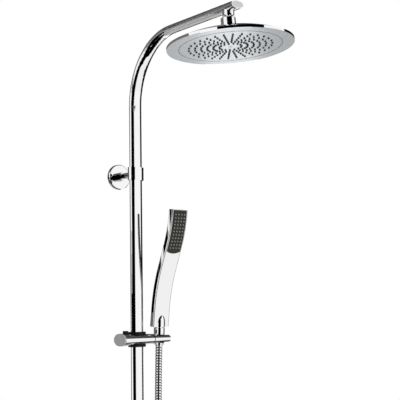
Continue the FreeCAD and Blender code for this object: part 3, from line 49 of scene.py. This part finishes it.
# The camera: it stands left of the column, about half way up it, looks slightly upwards and leans by less
# than a degree. Its place, heading and lens were fitted to the photograph.

MM = 0.001
camera_spot = Vector((-1119.8, -1727.3, 551.6)) * MM
camera_heading = Vector((0.6106, 0.7919, 0)).normalized()
camera_pitch = math.radians(5.80)
camera_roll = math.radians(-0.826)
level_right = Vector((camera_heading.y, -camera_heading.x, 0))
sight = camera_heading * math.cos(camera_pitch) + Vector((0, 0, math.sin(camera_pitch)))
level_up = level_right.cross(sight)
camera_right = level_right * math.cos(camera_roll) + level_up * math.sin(camera_roll)
camera_up = level_up * math.cos(camera_roll) - level_right * math.sin(camera_roll)
camera = bpy.data.objects.new("studio_camera", bpy.data.cameras.new("studio_camera"))
camera.data.sensor_width = 36.0
camera.data.lens = 90.4
camera.matrix_world = (Matrix.Translation(camera_spot)
                       @ Matrix((camera_right, camera_up, -sight)).transposed().to_4x4())
scene.collection.objects.link(camera)
scene.camera = camera

# The room: plain white, dimmer as a light than it is to the camera and in the metal, with a pale matt floor
# at the level of a shower tray. In the metal the floor is nearly as white as the room.


class Shade:
    """A socket in a node tree: arithmetic on it adds Math nodes, and node() adds any other node."""

    def __init__(self, tree, socket=None):
        self.tree = tree
        self.socket = socket

    def node(self, kind, settings=None, sockets=None, output=0):
        """Add a node, set its settings and then its sockets, and wrap one of its outputs."""
        made = self.tree.nodes.new(kind)
        for name, value in (settings or {}).items():
            setattr(made, name, value)
        for name, value in (sockets or {}).items():
            if isinstance(value, Shade):
                self.tree.links.new(value.socket, made.inputs[name])
            else:
                made.inputs[name].default_value = value
        return Shade(self.tree, made.outputs[output] if made.outputs else None)

    def math(self, operation, first, second):
        """Add a Math node on two values."""
        return self.node("ShaderNodeMath", {"operation": operation}, {0: first, 1: second})

    def __add__(self, other):
        return self.math("ADD", self, other)

    def __sub__(self, other):
        return self.math("SUBTRACT", self, other)

    def __rsub__(self, other):
        return self.math("SUBTRACT", other, self)

    def __mul__(self, other):
        return self.math("MULTIPLY", self, other)

    __radd__ = __add__
    __rmul__ = __mul__


def between(value, low, high):
    """A number that goes from low to high as a value goes from 0 to 1."""
    return value * (high - low) + low


ROOM_LIGHT = 0.62
ROOM_SEEN = 1.0
world = bpy.data.worlds.new("studio_world")
scene.world = world
world.use_nodes = True
world.node_tree.nodes.clear()
sky = Shade(world.node_tree)
rays_seen = (sky.node("ShaderNodeLightPath", output="Is Camera Ray")
             + sky.node("ShaderNodeLightPath", output="Is Glossy Ray")
             + sky.node("ShaderNodeLightPath", output="Is Transmission Ray"))
strength = between(sky.math("MINIMUM", rays_seen, 1.0), ROOM_LIGHT, ROOM_SEEN)
room = sky.node("ShaderNodeBackground", None, {"Color": (1, 1, 1, 1), "Strength": strength})
sky.node("ShaderNodeOutputWorld", None, {"Surface": room})


def panel(name, corners, faces=None):
    """A piece of the studio, with one flat face through its corners if no faces are given."""
    mesh = bpy.data.meshes.new(name)
    mesh.from_pydata(corners, [], faces or [list(range(len(corners)))])
    made = bpy.data.objects.new(name, mesh)
    scene.collection.objects.link(made)
    return made


def paint_of(name):
    """An empty material and its node tree."""
    paint = bpy.data.materials.new(name)
    paint.use_nodes = True
    paint.node_tree.nodes.clear()
    return paint, Shade(paint.node_tree)


FLOOR_LEVEL = -0.95
FLOOR_HALF = 9.0
floor = panel("studio_floor", [
    (-FLOOR_HALF, -FLOOR_HALF, FLOOR_LEVEL), (FLOOR_HALF, -FLOOR_HALF, FLOOR_LEVEL),
    (FLOOR_HALF, FLOOR_HALF, FLOOR_LEVEL), (-FLOOR_HALF, FLOOR_HALF, FLOOR_LEVEL)])
floor_paint, floor_tree = paint_of("studio_floor_paint")
floor_matt = floor_tree.node("ShaderNodeBsdfPrincipled", None, {
    "Base Color": (0.82, 0.82, 0.82, 1), "Roughness": 0.9})
floor_glow = floor_tree.node("ShaderNodeEmission", None, {"Color": (0.95, 0.95, 0.95, 1), "Strength": 1.0})
floor_mirrored = floor_tree.node("ShaderNodeLightPath", output="Is Glossy Ray")
floor_skin = floor_tree.node("ShaderNodeMixShader", None, {0: floor_mirrored, 1: floor_matt, 2: floor_glow})
floor_tree.node("ShaderNodeOutputMaterial", None, {"Surface": floor_skin})
floor.data.materials.append(floor_paint)

# The flags: screens, boards and strips that stand in a ring round the column, a disc above it and cloths on
# the floor. Only glossy surfaces show them, and they give the plating its dark, grey and white bands.
# A bearing is in degrees, with 0 to the right, 90 to the wall and -90 to the front.


def only_mirrored(flag, grey):
    """Give a flag one even tone, and keep it out of the picture and out of the light."""
    paint, tree = paint_of(flag.name + "_paint")
    glow = tree.node("ShaderNodeEmission", None, {"Color": (grey, grey, grey, 1), "Strength": 1.0})
    tree.node("ShaderNodeOutputMaterial", None, {"Surface": glow})
    flag.data.materials.append(paint)
    flag.visible_camera = False
    flag.visible_diffuse = False
    flag.visible_shadow = False


def spot_at(bearing, reach, height):
    """The place at a bearing, at a reach from the upright through the origin, and at a height."""
    heading = math.radians(bearing)
    return Vector((reach * math.cos(heading), reach * math.sin(heading), height))


ARC_STEPS = 12


def arc(bearings, reach, height):
    """Places along a level arc from one bearing to another."""
    first, last = bearings
    return [spot_at(first + (last - first) * i / ARC_STEPS, reach, height) for i in range(ARC_STEPS + 1)]


FLAG_DISTANCE = 3.2
FLAG_FOOT = -0.94
FLAG_TOP = 3.9
FULL_HEIGHT = (FLAG_FOOT, FLAG_TOP)


def standing_flag(name, bearings, heights, grey):
    """A curved screen round the column, between two bearings and two heights."""
    low, high = heights
    corners = arc(bearings, FLAG_DISTANCE, low) + arc(bearings, FLAG_DISTANCE, high)
    row = ARC_STEPS + 1
    faces = [(i, i + 1, i + 1 + row, i + row) for i in range(ARC_STEPS)]
    only_mirrored(panel(name, corners, faces), grey)


CAMERA_SIDE = (-146, -93)
VALANCE_JOIN = -70
RIGHT_FRONT = -24
RIGHT_BACK = 28
BACK_LEFT = 72
LEFT_BACK = 113
LEFT_MIDDLE = 132
LEFT_FRONT = 160
standing_flag("flag_behind_camera", CAMERA_SIDE, FULL_HEIGHT, grey=0.0)
standing_flag("flag_right", (RIGHT_FRONT, RIGHT_BACK), FULL_HEIGHT, grey=0.01)

BOARD_TOP = 0.40
BOARD_HEIGHT = (FLAG_FOOT, BOARD_TOP)
MIDDLE_BOARD = (41.5, 46.5)
standing_flag("flag_back", (RIGHT_BACK, BACK_LEFT), (BOARD_TOP, FLAG_TOP), grey=0.03)
standing_flag("board_back_right", (RIGHT_BACK, MIDDLE_BOARD[0]), BOARD_HEIGHT, grey=0.42)
standing_flag("board_back_middle", MIDDLE_BOARD, BOARD_HEIGHT, grey=1.15)
standing_flag("board_back_left", (MIDDLE_BOARD[1], BACK_LEFT), BOARD_HEIGHT, grey=0.48)

VALANCE_FOOT = 1.7
RIGHT_VALANCE_FOOT = 2.3
standing_flag("valance_front", (CAMERA_SIDE[1], VALANCE_JOIN), (VALANCE_FOOT, FLAG_TOP), grey=0.0)
standing_flag("valance_front_right", (VALANCE_JOIN, RIGHT_FRONT), (RIGHT_VALANCE_FOOT, FLAG_TOP), grey=0.02)

DARK_SIDE = (LEFT_BACK, LEFT_MIDDLE)
DARK_FOOT = 0.50
DARK_TOP = 1.60
standing_flag("flag_left_back_near", (BACK_LEFT, LEFT_BACK), FULL_HEIGHT, grey=0.16)
standing_flag("flag_left_back_low", DARK_SIDE, (FLAG_FOOT, DARK_FOOT), grey=0.14)
standing_flag("flag_left_back_dark", DARK_SIDE, (DARK_FOOT, DARK_TOP), grey=0.0)
standing_flag("flag_left_back_high", DARK_SIDE, (DARK_TOP, FLAG_TOP), grey=0.16)
standing_flag("flag_left_back_far", (LEFT_MIDDLE, LEFT_FRONT), FULL_HEIGHT, grey=0.16)

STRIP_SIDE = (172, 214)
STRIP_LEVELS = (0.35, 0.60, 0.70, 0.80, 0.92)
STRIP_GREYS = {"strip_left": 0.0, "strip_left_dusk": 0.26, "strip_left_grey": 0.40, "strip_left_pale": 0.60}
for (strip, strip_grey), strip_heights in zip(STRIP_GREYS.items(), zip(STRIP_LEVELS, STRIP_LEVELS[1:])):
    standing_flag(strip, STRIP_SIDE, strip_heights, strip_grey)

DISC_HEIGHT = 2.7
DISC_RADIUS = 2.9
DISC_SIDES = 48
disc_rim = [spot_at(360 * i / DISC_SIDES, DISC_RADIUS, DISC_HEIGHT) for i in range(DISC_SIDES)]
only_mirrored(panel("flag_above", disc_rim), grey=0.07)

CLOTH_LIFT = 0.01
CLOTH_EDGE = ((-90, 1.5), (-70, 1.35), (-52, 1.0), (-33, 1.1), (-17, 1.35), (0, 1.5), (20, 1.7),
              (45, 2.0), (90, 1.9), (112, 2.3), (150, 2.3), (180, 1.3), (214, 1.1))
cloth_corners = [spot_at(bearing, reach, FLOOR_LEVEL + CLOTH_LIFT) for bearing, reach in CLOTH_EDGE]
only_mirrored(panel("dark_cloth_below", cloth_corners), grey=0.0)


def floor_flag(name, bearings, near, lift, grey):
    """A sector of the floor between two bearings, out to the standing flags."""
    level = FLOOR_LEVEL + lift
    corners = arc(bearings, near, level) + arc(bearings, FLAG_DISTANCE, level)[::-1]
    only_mirrored(panel(name, corners), grey)


CARPET_SIDE = (50, 175)
floor_flag("dark_runner", CAMERA_SIDE, near=0.9, lift=0.02, grey=0.0)
floor_flag("grey_carpet_back", CARPET_SIDE, near=0.5, lift=0.005, grey=0.36)

# The key light: a softbox at the right front, aimed at the middle of the column. The metal doesn't mirror
# it, and shows only the room, the flags and the set itself.

key_target = Vector((0, -0.15, 0.5))
key = bpy.data.objects.new("key_softbox", bpy.data.lights.new("key_softbox", "AREA"))
key.data.shape = "RECTANGLE"
key.data.size = 1.6
key.data.size_y = 2.0
key.data.energy = 26.0
key.location = (1.1, -2.4, 1.6)
key.rotation_euler = (key_target - key.location).to_track_quat("-Z", "Y").to_euler()
scene.collection.objects.link(key)
key.visible_glossy = False

# The hose: a metal hose of 14 mm and 1.25 m, wound of ribbed and plated strip. A cone nut screws it to the
# handset's inlet and a round nut to the diverter's outlet, and it hangs between them in one long loop.


def tint(value, first, second):
    """A colour that goes from the first to the second as a value goes from 0 to 1."""
    factor_socket = 0
    first_socket = 6
    second_socket = 7
    mixed_output = 2
    return value.node("ShaderNodeMix", {"data_type": "RGBA"}, {
        factor_socket: value, first_socket: first, second_socket: second}, output=mixed_output)


def cover(tree, sockets):
    """Close a material with one shader."""
    surface = tree.node("ShaderNodeBsdfPrincipled", None, sockets)
    tree.node("ShaderNodeOutputMaterial", None, {"Surface": surface})


# Painted shade: the base colour goes near black in the hose's grooves, for the shade that falls there and
# some dirt in them; the crests keep the plating's colour.
GROOVE_SHADE_AND_DIRT = (0.05, 0.05, 0.05, 1)
CREST_TONE = (0.92, 0.92, 0.93, 1)
hose_metal, hose_tree = paint_of("hose_chrome")
crest = hose_tree.node("ShaderNodeAttribute", {"attribute_name": "crest"}, output="Fac")
clear_of_groove_shade = hose_tree.node("ShaderNodeMapRange", None, {
    "Value": crest, "From Min": 0.02, "From Max": 0.25, "To Min": 0.0, "To Max": 1.0})
cover(hose_tree, {"Base Color": tint(clear_of_groove_shade, GROOVE_SHADE_AND_DIRT, CREST_TONE), "Metallic": 1.0,
                  "Roughness": between(clear_of_groove_shade, 0.30, 0.06)})

CONE_HALF = 12
FIRST_RUN = 84
cone_middle = Vector((53.2, -65, 480))
hose_lean = math.radians(3.0)
hose_down = Vector((0, math.sin(hose_lean), -math.cos(hose_lean)))
hose_top = cone_middle + hose_down * CONE_HALF
HOSE_ROUTE = [
    hose_top,
    hose_top + hose_down * FIRST_RUN,
    Vector((56.0, -55.0, 250.0)),
    Vector((65.0, -53.0, 118.0)),
    Vector((84.0, -54.0, -16.0)),
    Vector((103.0, -57.0, -146.0)),
    Vector((107.0, -60.0, -232.0)),
    Vector((105.0, -61.0, -315.0)),
    Vector((57.0, -62.0, -364.0)),
    Vector((-13.0, -63.0, -364.0)),
    Vector((-62.0, -64.0, -315.0)),
    Vector((-57.0, -64.5, -230.0)),
    Vector((-24.0, -65.0, -174.0)),
    Vector((0.0, -65.0, -122.6)),
    Vector((0.0, -65.0, -61.6))]
route = bpy.data.curves.new("hose_route", "CURVE")
route.dimensions = "3D"
spline = route.splines.new("NURBS")
spline.points.add(len(HOSE_ROUTE) - 1)
for point, spot in zip(spline.points, HOSE_ROUTE):
    point.co = (*(spot * MM), 1)
spline.order_u = 3
spline.use_endpoint_u = True
route.resolution_u = 32
route_object = bpy.data.objects.new("hose_route", route)
scene.collection.objects.link(route_object)
bpy.context.view_layer.update()
line = bpy.data.meshes.new_from_object(route_object.evaluated_get(bpy.context.evaluated_depsgraph_get()))
line_points = [vertex.co.copy() for vertex in line.vertices]
line_lengths = [0.0]
for before, after in zip(line_points, line_points[1:]):
    line_lengths.append(line_lengths[-1] + (after - before).length)
hose_length = line_lengths[-1]
hose_line = list(zip(line_points, line_lengths))

STEPS_PER_RIB = 10
RIB_SIDES = 20
RIB_STEEPNESS = 4.0
TRIM_FROM_LENGTH = 4
TRIM_TO_LENGTH = 5
RIB_INPUT_KINDS = {"Start": "Float", "End": "Float", "Pitch": "Float", "Crest": "Float", "Valley": "Float",
                   "Plating": "Material"}
ribs = bpy.data.node_groups.new("hose_ribs", "GeometryNodeTree")
ribs.interface.new_socket("Geometry", in_out="INPUT", socket_type="NodeSocketGeometry")
rib_inputs = {}
for name, kind in RIB_INPUT_KINDS.items():
    rib_socket = ribs.interface.new_socket(name, in_out="INPUT", socket_type="NodeSocket" + kind)
    rib_inputs[name] = rib_socket.identifier
ribs.interface.new_socket("Geometry", in_out="OUTPUT", socket_type="NodeSocketGeometry")
weave = Shade(ribs)
asked = ribs.nodes.new("NodeGroupInput")
given = {socket.name: Shade(ribs, socket) for socket in asked.outputs}
stretch = weave.node("GeometryNodeTrimCurve", {"mode": "LENGTH"}, {
    "Curve": given["Geometry"], TRIM_FROM_LENGTH: given["Start"], TRIM_TO_LENGTH: given["End"]})
stations = weave.node("GeometryNodeResampleCurve", {"mode": "LENGTH"}, {
    "Curve": stretch, "Length": given["Pitch"] * (1 / STEPS_PER_RIB)})
along = weave.node("GeometryNodeSplineParameter", output="Length")
turns = weave.math("DIVIDE", along, given["Pitch"])
swell = 0.5 - weave.math("COSINE", turns * (2 * math.pi), 0.0) * 0.5
ridge = weave.math("MINIMUM", swell * RIB_STEEPNESS, 1.0)
girth = given["Valley"] + (given["Crest"] - given["Valley"]) * ridge
marked = weave.node("GeometryNodeStoreNamedAttribute", {"data_type": "FLOAT", "domain": "POINT"}, {
    "Geometry": stations, "Name": "crest", "Value": swell})
round_section = weave.node("GeometryNodeCurvePrimitiveCircle", {"mode": "RADIUS"}, {
    "Resolution": RIB_SIDES, "Radius": 1.0}, output="Curve")
skin = weave.node("GeometryNodeCurveToMesh", None, {
    "Curve": marked, "Profile Curve": round_section, "Scale": girth, "Fill Caps": True})
smooth_skin = weave.node("GeometryNodeSetShadeSmooth", None, {"Geometry": skin})
solid_skin = weave.node("GeometryNodeRealizeInstances", None, {"Geometry": smooth_skin})
plated_skin = weave.node("GeometryNodeSetMaterial", None, {
    "Geometry": solid_skin, "Material": given["Plating"]})
weave.node("NodeGroupOutput", None, {0: plated_skin})


def piece_from_tree(name, host, tree, values):
    """The plain mesh that a Geometry Nodes tree makes on a host object."""
    modifier = host.modifiers.new(name, "NODES")
    modifier.node_group = tree
    for identifier, value in values.items():
        modifier[identifier] = value
    bpy.context.view_layer.update()
    graph = bpy.context.evaluated_depsgraph_get()
    mesh = bpy.data.meshes.new_from_object(host.evaluated_get(graph))
    host.modifiers.remove(modifier)
    piece = bpy.data.objects.new(name, mesh)
    scene.collection.objects.link(piece)
    return piece


HOSE_THICK = 0.014
VALLEY_RADIUS = 5.4 * MM
RIB_COUNT = 233
rib_pitch = hose_length / RIB_COUNT


def hose_stretch(name, first_rib, last_rib):
    """Ribbed tube between two ribs, and the line that it follows."""
    start = first_rib * rib_pitch
    end = last_rib * rib_pitch
    tube = piece_from_tree(name, route_object, ribs, {
        rib_inputs["Start"]: start, rib_inputs["End"]: end, rib_inputs["Pitch"]: rib_pitch,
        rib_inputs["Crest"]: HOSE_THICK / 2, rib_inputs["Valley"]: VALLEY_RADIUS,
        rib_inputs["Plating"]: hose_metal})
    reach = rib_pitch / 2
    path = [spot for spot, length in hose_line if start - reach < length < end + reach]
    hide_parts("hose")
    return tube, path


def first_rib_below(height, spots):
    """The rib at the first of some spots along the hose that hangs below a height."""
    for spot, length in spots:
        if spot.z < height:
            return round(length / rib_pitch)


# The hose is cut at ribs into runs: one at the cone, one under the holder, one down to the loop, the loop
# that hangs below a height, and the run that climbs to its end.

LIFT_RIBS = 17
TILT_RIBS = 40
LOOP_TOP = -0.28
loop_start = first_rib_below(LOOP_TOP, hose_line)
loop_end = first_rib_below(LOOP_TOP, reversed(hose_line))
lift_run, lift_path = hose_stretch("hose_at_cone", 0, LIFT_RIBS)
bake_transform(lift_run)
tilt_run, tilt_path = hose_stretch("hose_under_holder", LIFT_RIBS, TILT_RIBS)
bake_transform(tilt_run)
down_run, down_path = hose_stretch("hose_down", TILT_RIBS, loop_start)
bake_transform(down_run)
loop_run = hose_stretch("hose_loop", loop_start, loop_end)[0]
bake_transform(loop_run)
up_run, up_path = hose_stretch("hose_up", loop_end, RIB_COUNT)
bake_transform(up_run)
bpy.data.objects.remove(route_object)

# The wall feed: a turned and plated brass stem with a half-inch thread that screws into the elbow in the
# wall, a black rubber seal in the valve's back, and a pressed, plated rosette that hides the hole in the
# tiles.


def dress(paint, *names):
    """Give CAD pieces their finish."""
    for name in names:
        for holder in nodes[name].material_slots:
            holder.material = paint


def grain(tree, scale, detail):
    """Noise in a piece's own coordinates."""
    spot = tree.node("ShaderNodeTexCoord", output="Object")
    return tree.node("ShaderNodeTexNoise", None, {"Vector": spot, "Scale": scale, "Detail": detail})


def raised(value, strength, depth):
    """The normals of a surface that a value raises."""
    return value.node("ShaderNodeBump", None, {"Height": value, "Strength": strength, "Distance": depth})


FILM_LEVEL = 0.45
FILM_DULLNESS = 0.03
CLEAN_ROUGHNESS = 0.012
polished, polished_tree = paint_of("polished_chrome")
film = polished_tree.math("MAXIMUM", grain(polished_tree, scale=9.0, detail=2.0) - FILM_LEVEL, 0.0)
cover(polished_tree, {"Base Color": (0.915, 0.915, 0.925, 1), "Metallic": 1.0,
                      "Roughness": film * FILM_DULLNESS + CLEAN_ROUGHNESS})

RUBBER_BLACK = (0.012, 0.012, 0.012, 1)
RUBBER_BLOOM = (0.035, 0.035, 0.036, 1)
rubber, rubber_tree = paint_of("black_rubber")
bloom = grain(rubber_tree, scale=260.0, detail=5.0)
cover(rubber_tree, {"Base Color": tint(bloom, RUBBER_BLACK, RUBBER_BLOOM),
                    "Roughness": between(bloom, 0.42, 0.72),
                    "Normal": raised(bloom, strength=0.15, depth=0.0002)})

dress(polished, "inlet_stem", "lower_wall_rosette")
dress(rubber, "inlet_seal")

# The diverter: a cast and plated valve body with a plastic cartridge held by a brass nut, and a plated knob
# with a pointer peg, fixed to the brass spindle by one small steel screw.

PALE_PLASTIC = (0.60, 0.60, 0.57, 1)
PALER_PLASTIC = (0.72, 0.72, 0.69, 1)
inner_plastic, plastic_tree = paint_of("inner_plastic")
flow = grain(plastic_tree, scale=120.0, detail=4.0)
cover(plastic_tree, {"Base Color": tint(flow, PALE_PLASTIC, PALER_PLASTIC),
                     "Roughness": between(flow, 0.35, 0.55)})

BRIGHT_BRASS = (0.80, 0.60, 0.28, 1)
DULL_BRASS = (0.66, 0.47, 0.20, 1)
brass, brass_tree = paint_of("turned_brass")
tarnish = grain(brass_tree, scale=70.0, detail=6.0)
lathe_marks = grain(brass_tree, scale=900.0, detail=3.0)
cover(brass_tree, {"Base Color": tint(tarnish, BRIGHT_BRASS, DULL_BRASS), "Metallic": 1.0,
                   "Roughness": between(tarnish, 0.16, 0.41),
                   "Normal": raised(lathe_marks, strength=0.08, depth=0.0002)})

steel, steel_tree = paint_of("machined_steel")
steel_grain = grain(steel_tree, scale=700.0, detail=4.0)
cover(steel_tree, {"Base Color": (0.58, 0.58, 0.59, 1), "Metallic": 1.0,
                   "Roughness": between(steel_grain, 0.2, 0.45),
                   "Normal": raised(steel_grain, strength=0.1, depth=0.0002)})

dress(polished, "diverter_body", "diverter_knob")
dress(inner_plastic, "diverter_cartridge")
dress(brass, "cartridge_nut", "diverter_spindle")
dress(rubber, "spindle_o_ring")
dress(steel, "knob_screw")

# The hose's lower end: a brass nipple screwed into the valve from below, a rubber washer, and a plated nut
# that draws the hose's brass insert up against the washer.

dress(brass, "hose_outlet_nipple", "hose_lower_insert")
dress(rubber, "hose_lower_washer")
dress(polished, "hose_lower_nut")

# The riser: one oval brass tube, bent forward into the arm and plated, with a brushed plug in the arm's end.
# Its plated brass foot seals in the valve on two rubber rings and is held there by a small steel screw.

dress(polished, "riser_pipe", "riser_foot")
dress(rubber, "riser_o_rings")
dress(steel, "riser_grub_screw")

plug_metal, plug_tree = paint_of("brushed_plug")
plug_grain = grain(plug_tree, scale=500.0, detail=4.0)
cover(plug_tree, {"Base Color": (0.91, 0.92, 0.915, 1), "Metallic": 1.0,
                  "Roughness": between(plug_grain, 0.3, 0.5)})
dress(plug_metal, "arm_end_plug")

# The wall bracket: a steel plate on two countersunk screws, and a turned stem held on its boss by a grub
# screw. The stem, a pressed rosette over the plate and an oval collar round the riser are plated.

dress(steel, "upper_wall_plate", "upper_wall_screws", "stem_grub_screw")
dress(polished, "upper_wall_rosette", "bracket_stem", "riser_collar")

# The ball joint: a plated neck brazed into the arm, a hollow plated ball stud screwed into it, a plastic
# slip ring, a rubber seal, and a plated union nut that clamps the head's socket round the ball.

dress(polished, "arm_outlet_stub", "ball_stud", "head_union_nut")
dress(inner_plastic, "ball_ring")
dress(rubber, "ball_seal")

# The rain head: a plated shell with a satin rim ring and face plate. The plate's holes let the nozzles of
# one black rubber mat stand through, and a plastic plate and one steel screw clamp the mat from behind.

satin, satin_tree = paint_of("satin_chrome")
satin_grain = grain(satin_tree, scale=300.0, detail=6.0)
cover(satin_tree, {"Base Color": (0.82, 0.855, 0.885, 1), "Metallic": 0.6,
                   "Roughness": between(satin_grain, 0.17, 0.23),
                   "Normal": raised(satin_grain, strength=0.05, depth=0.0002)})

dress(polished, "head_top_shell")
dress(satin, "head_rim_ring", "head_face_plate")
dress(rubber, "head_nozzle_mat")
dress(inner_plastic, "head_back_plate")
dress(steel, "head_centre_screw")

# The groove shade: a thin ring of black rubber laid in the groove between the rain head's face plate and its
# rim ring.
# It is painted shade, a dark thing put where the groove's shadow falls.

SHADE_RING_RADIUS = 92.98 * MM
SHADE_RING_HALF = 0.55 * MM
SHADE_RING_RISE = 0.25 * MM
SHADE_RING_STEPS = 160
SHADE_RING_SIDES = 8
HEAD_DROP = 45.4 * MM
HEAD_LEAN = math.radians(-2.0)
HEAD_NOD = math.radians(-3.6)
ball_middle = Vector((0, -366, 1050.4)) * MM
head_turn = Matrix.Rotation(HEAD_LEAN, 4, "Y") @ Matrix.Rotation(HEAD_NOD, 4, "X")
shade_ring_mesh = bmesh.new()
loops = []
for i in range(SHADE_RING_STEPS):
    bearing = 2 * math.pi * i / SHADE_RING_STEPS
    loop = []
    for k in range(SHADE_RING_SIDES):
        turn = 2 * math.pi * k / SHADE_RING_SIDES
        reach = SHADE_RING_RADIUS + SHADE_RING_HALF * math.cos(turn)
        spot = Vector((reach * math.cos(bearing), reach * math.sin(bearing),
                       SHADE_RING_RISE - HEAD_DROP + SHADE_RING_HALF * math.sin(turn)))
        loop.append(shade_ring_mesh.verts.new(ball_middle + head_turn @ spot))
    loops.append(loop)
for i, loop in enumerate(loops):
    ahead = loops[(i + 1) % SHADE_RING_STEPS]
    for k in range(SHADE_RING_SIDES):
        above = (k + 1) % SHADE_RING_SIDES
        shade_ring_mesh.faces.new((loop[k], ahead[k], ahead[above], loop[above])).smooth = True
bmesh.ops.recalc_face_normals(shade_ring_mesh, faces=shade_ring_mesh.faces)
shade_ring = bpy.data.meshes.new("groove_shade_ring")
shade_ring_mesh.to_mesh(shade_ring)
shade_ring_mesh.free()
# The ring's black rubber is painted shade for the groove.
shade_ring.materials.append(rubber)
shade_ring_object = bpy.data.objects.new("groove_shade_ring", shade_ring)
scene.collection.objects.link(shade_ring_object)
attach(shade_ring_object, "head")

# The slider: an oval plated bar across the riser with a silver lacquered cap on its end, lined by two black
# bushes. A black button on a spring frees a clamp shoe, so that the bar can be moved up and down.

DEEP_BLACK = (0.004, 0.004, 0.0045, 1)
SOFT_BLACK = (0.010, 0.010, 0.011, 1)
black_plastic, black_tree = paint_of("black_plastic")
texture = grain(black_tree, scale=1500.0, detail=2.0)
cover(black_tree, {"Base Color": tint(texture, DEEP_BLACK, SOFT_BLACK),
                   "Roughness": between(texture, 0.3, 0.5), "Specular IOR Level": 0.15,
                   "Normal": raised(texture, strength=0.2, depth=0.0001)})

DARK_FLAKE = (0.44, 0.44, 0.45, 1)
BRIGHT_FLAKE = (0.66, 0.66, 0.66, 1)
silver, silver_tree = paint_of("silver_lacquer")
flakes = grain(silver_tree, scale=800.0, detail=4.0)
cover(silver_tree, {"Base Color": tint(flakes, DARK_FLAKE, BRIGHT_FLAKE), "Metallic": 0.15,
                    "Roughness": between(flakes, 0.35, 0.55)})

dress(polished, "slider_body")
dress(silver, "slider_end_cap")
dress(black_plastic, "slider_bush_upper", "slider_bush_lower", "lock_button", "clamp_shoe")
dress(steel, "button_spring")

# The holder: it is plated, turns on a spigot in the bar against a rubber ring, with a dark washer between,
# and takes the hose's cone nut in a plastic liner, open at one side for the hose.

dress(polished, "handset_holder")
dress(black_plastic, "holder_washer", "holder_liner")
dress(rubber, "holder_friction_ring")

# The hose's upper end: a plated cone nut that screws onto the handset's thread and draws the hose's brass
# insert up against a rubber washer.

dress(polished, "hose_cone_nut")
dress(brass, "hose_upper_insert")
dress(rubber, "hose_upper_washer")

# The handset: a flat plated tube bowed forward, with a plated cap on top and a plated inlet tube let into
# its lower end. Inside are a plastic waterway and chamber, closed by a charcoal face with rows of pale
# rubber nozzles.

FACE_SHADE = (0.010, 0.0095, 0.008, 1)
FACE_SHEEN = (0.022, 0.021, 0.018, 1)
charcoal, face_tree = paint_of("charcoal_face")
face_grain = grain(face_tree, scale=900.0, detail=3.0)
cover(face_tree, {"Base Color": tint(face_grain, FACE_SHADE, FACE_SHEEN),
                  "Roughness": between(face_grain, 0.4, 0.6)})

NOZZLE_SHADE = (0.25, 0.24, 0.20, 1)
NOZZLE_DUST = (0.34, 0.33, 0.28, 1)
pale_rubber, pale_tree = paint_of("pale_rubber")
pale_dust = grain(pale_tree, scale=400.0, detail=3.0)
cover(pale_tree, {"Base Color": tint(pale_dust, NOZZLE_SHADE, NOZZLE_DUST),
                  "Roughness": between(pale_dust, 0.5, 0.7)})

dress(polished, "handset_body", "handset_top_cap", "handset_connector")
dress(inner_plastic, "spray_chamber", "handset_waterway")
dress(charcoal, "spray_face")
dress(pale_rubber, "spray_nozzles")
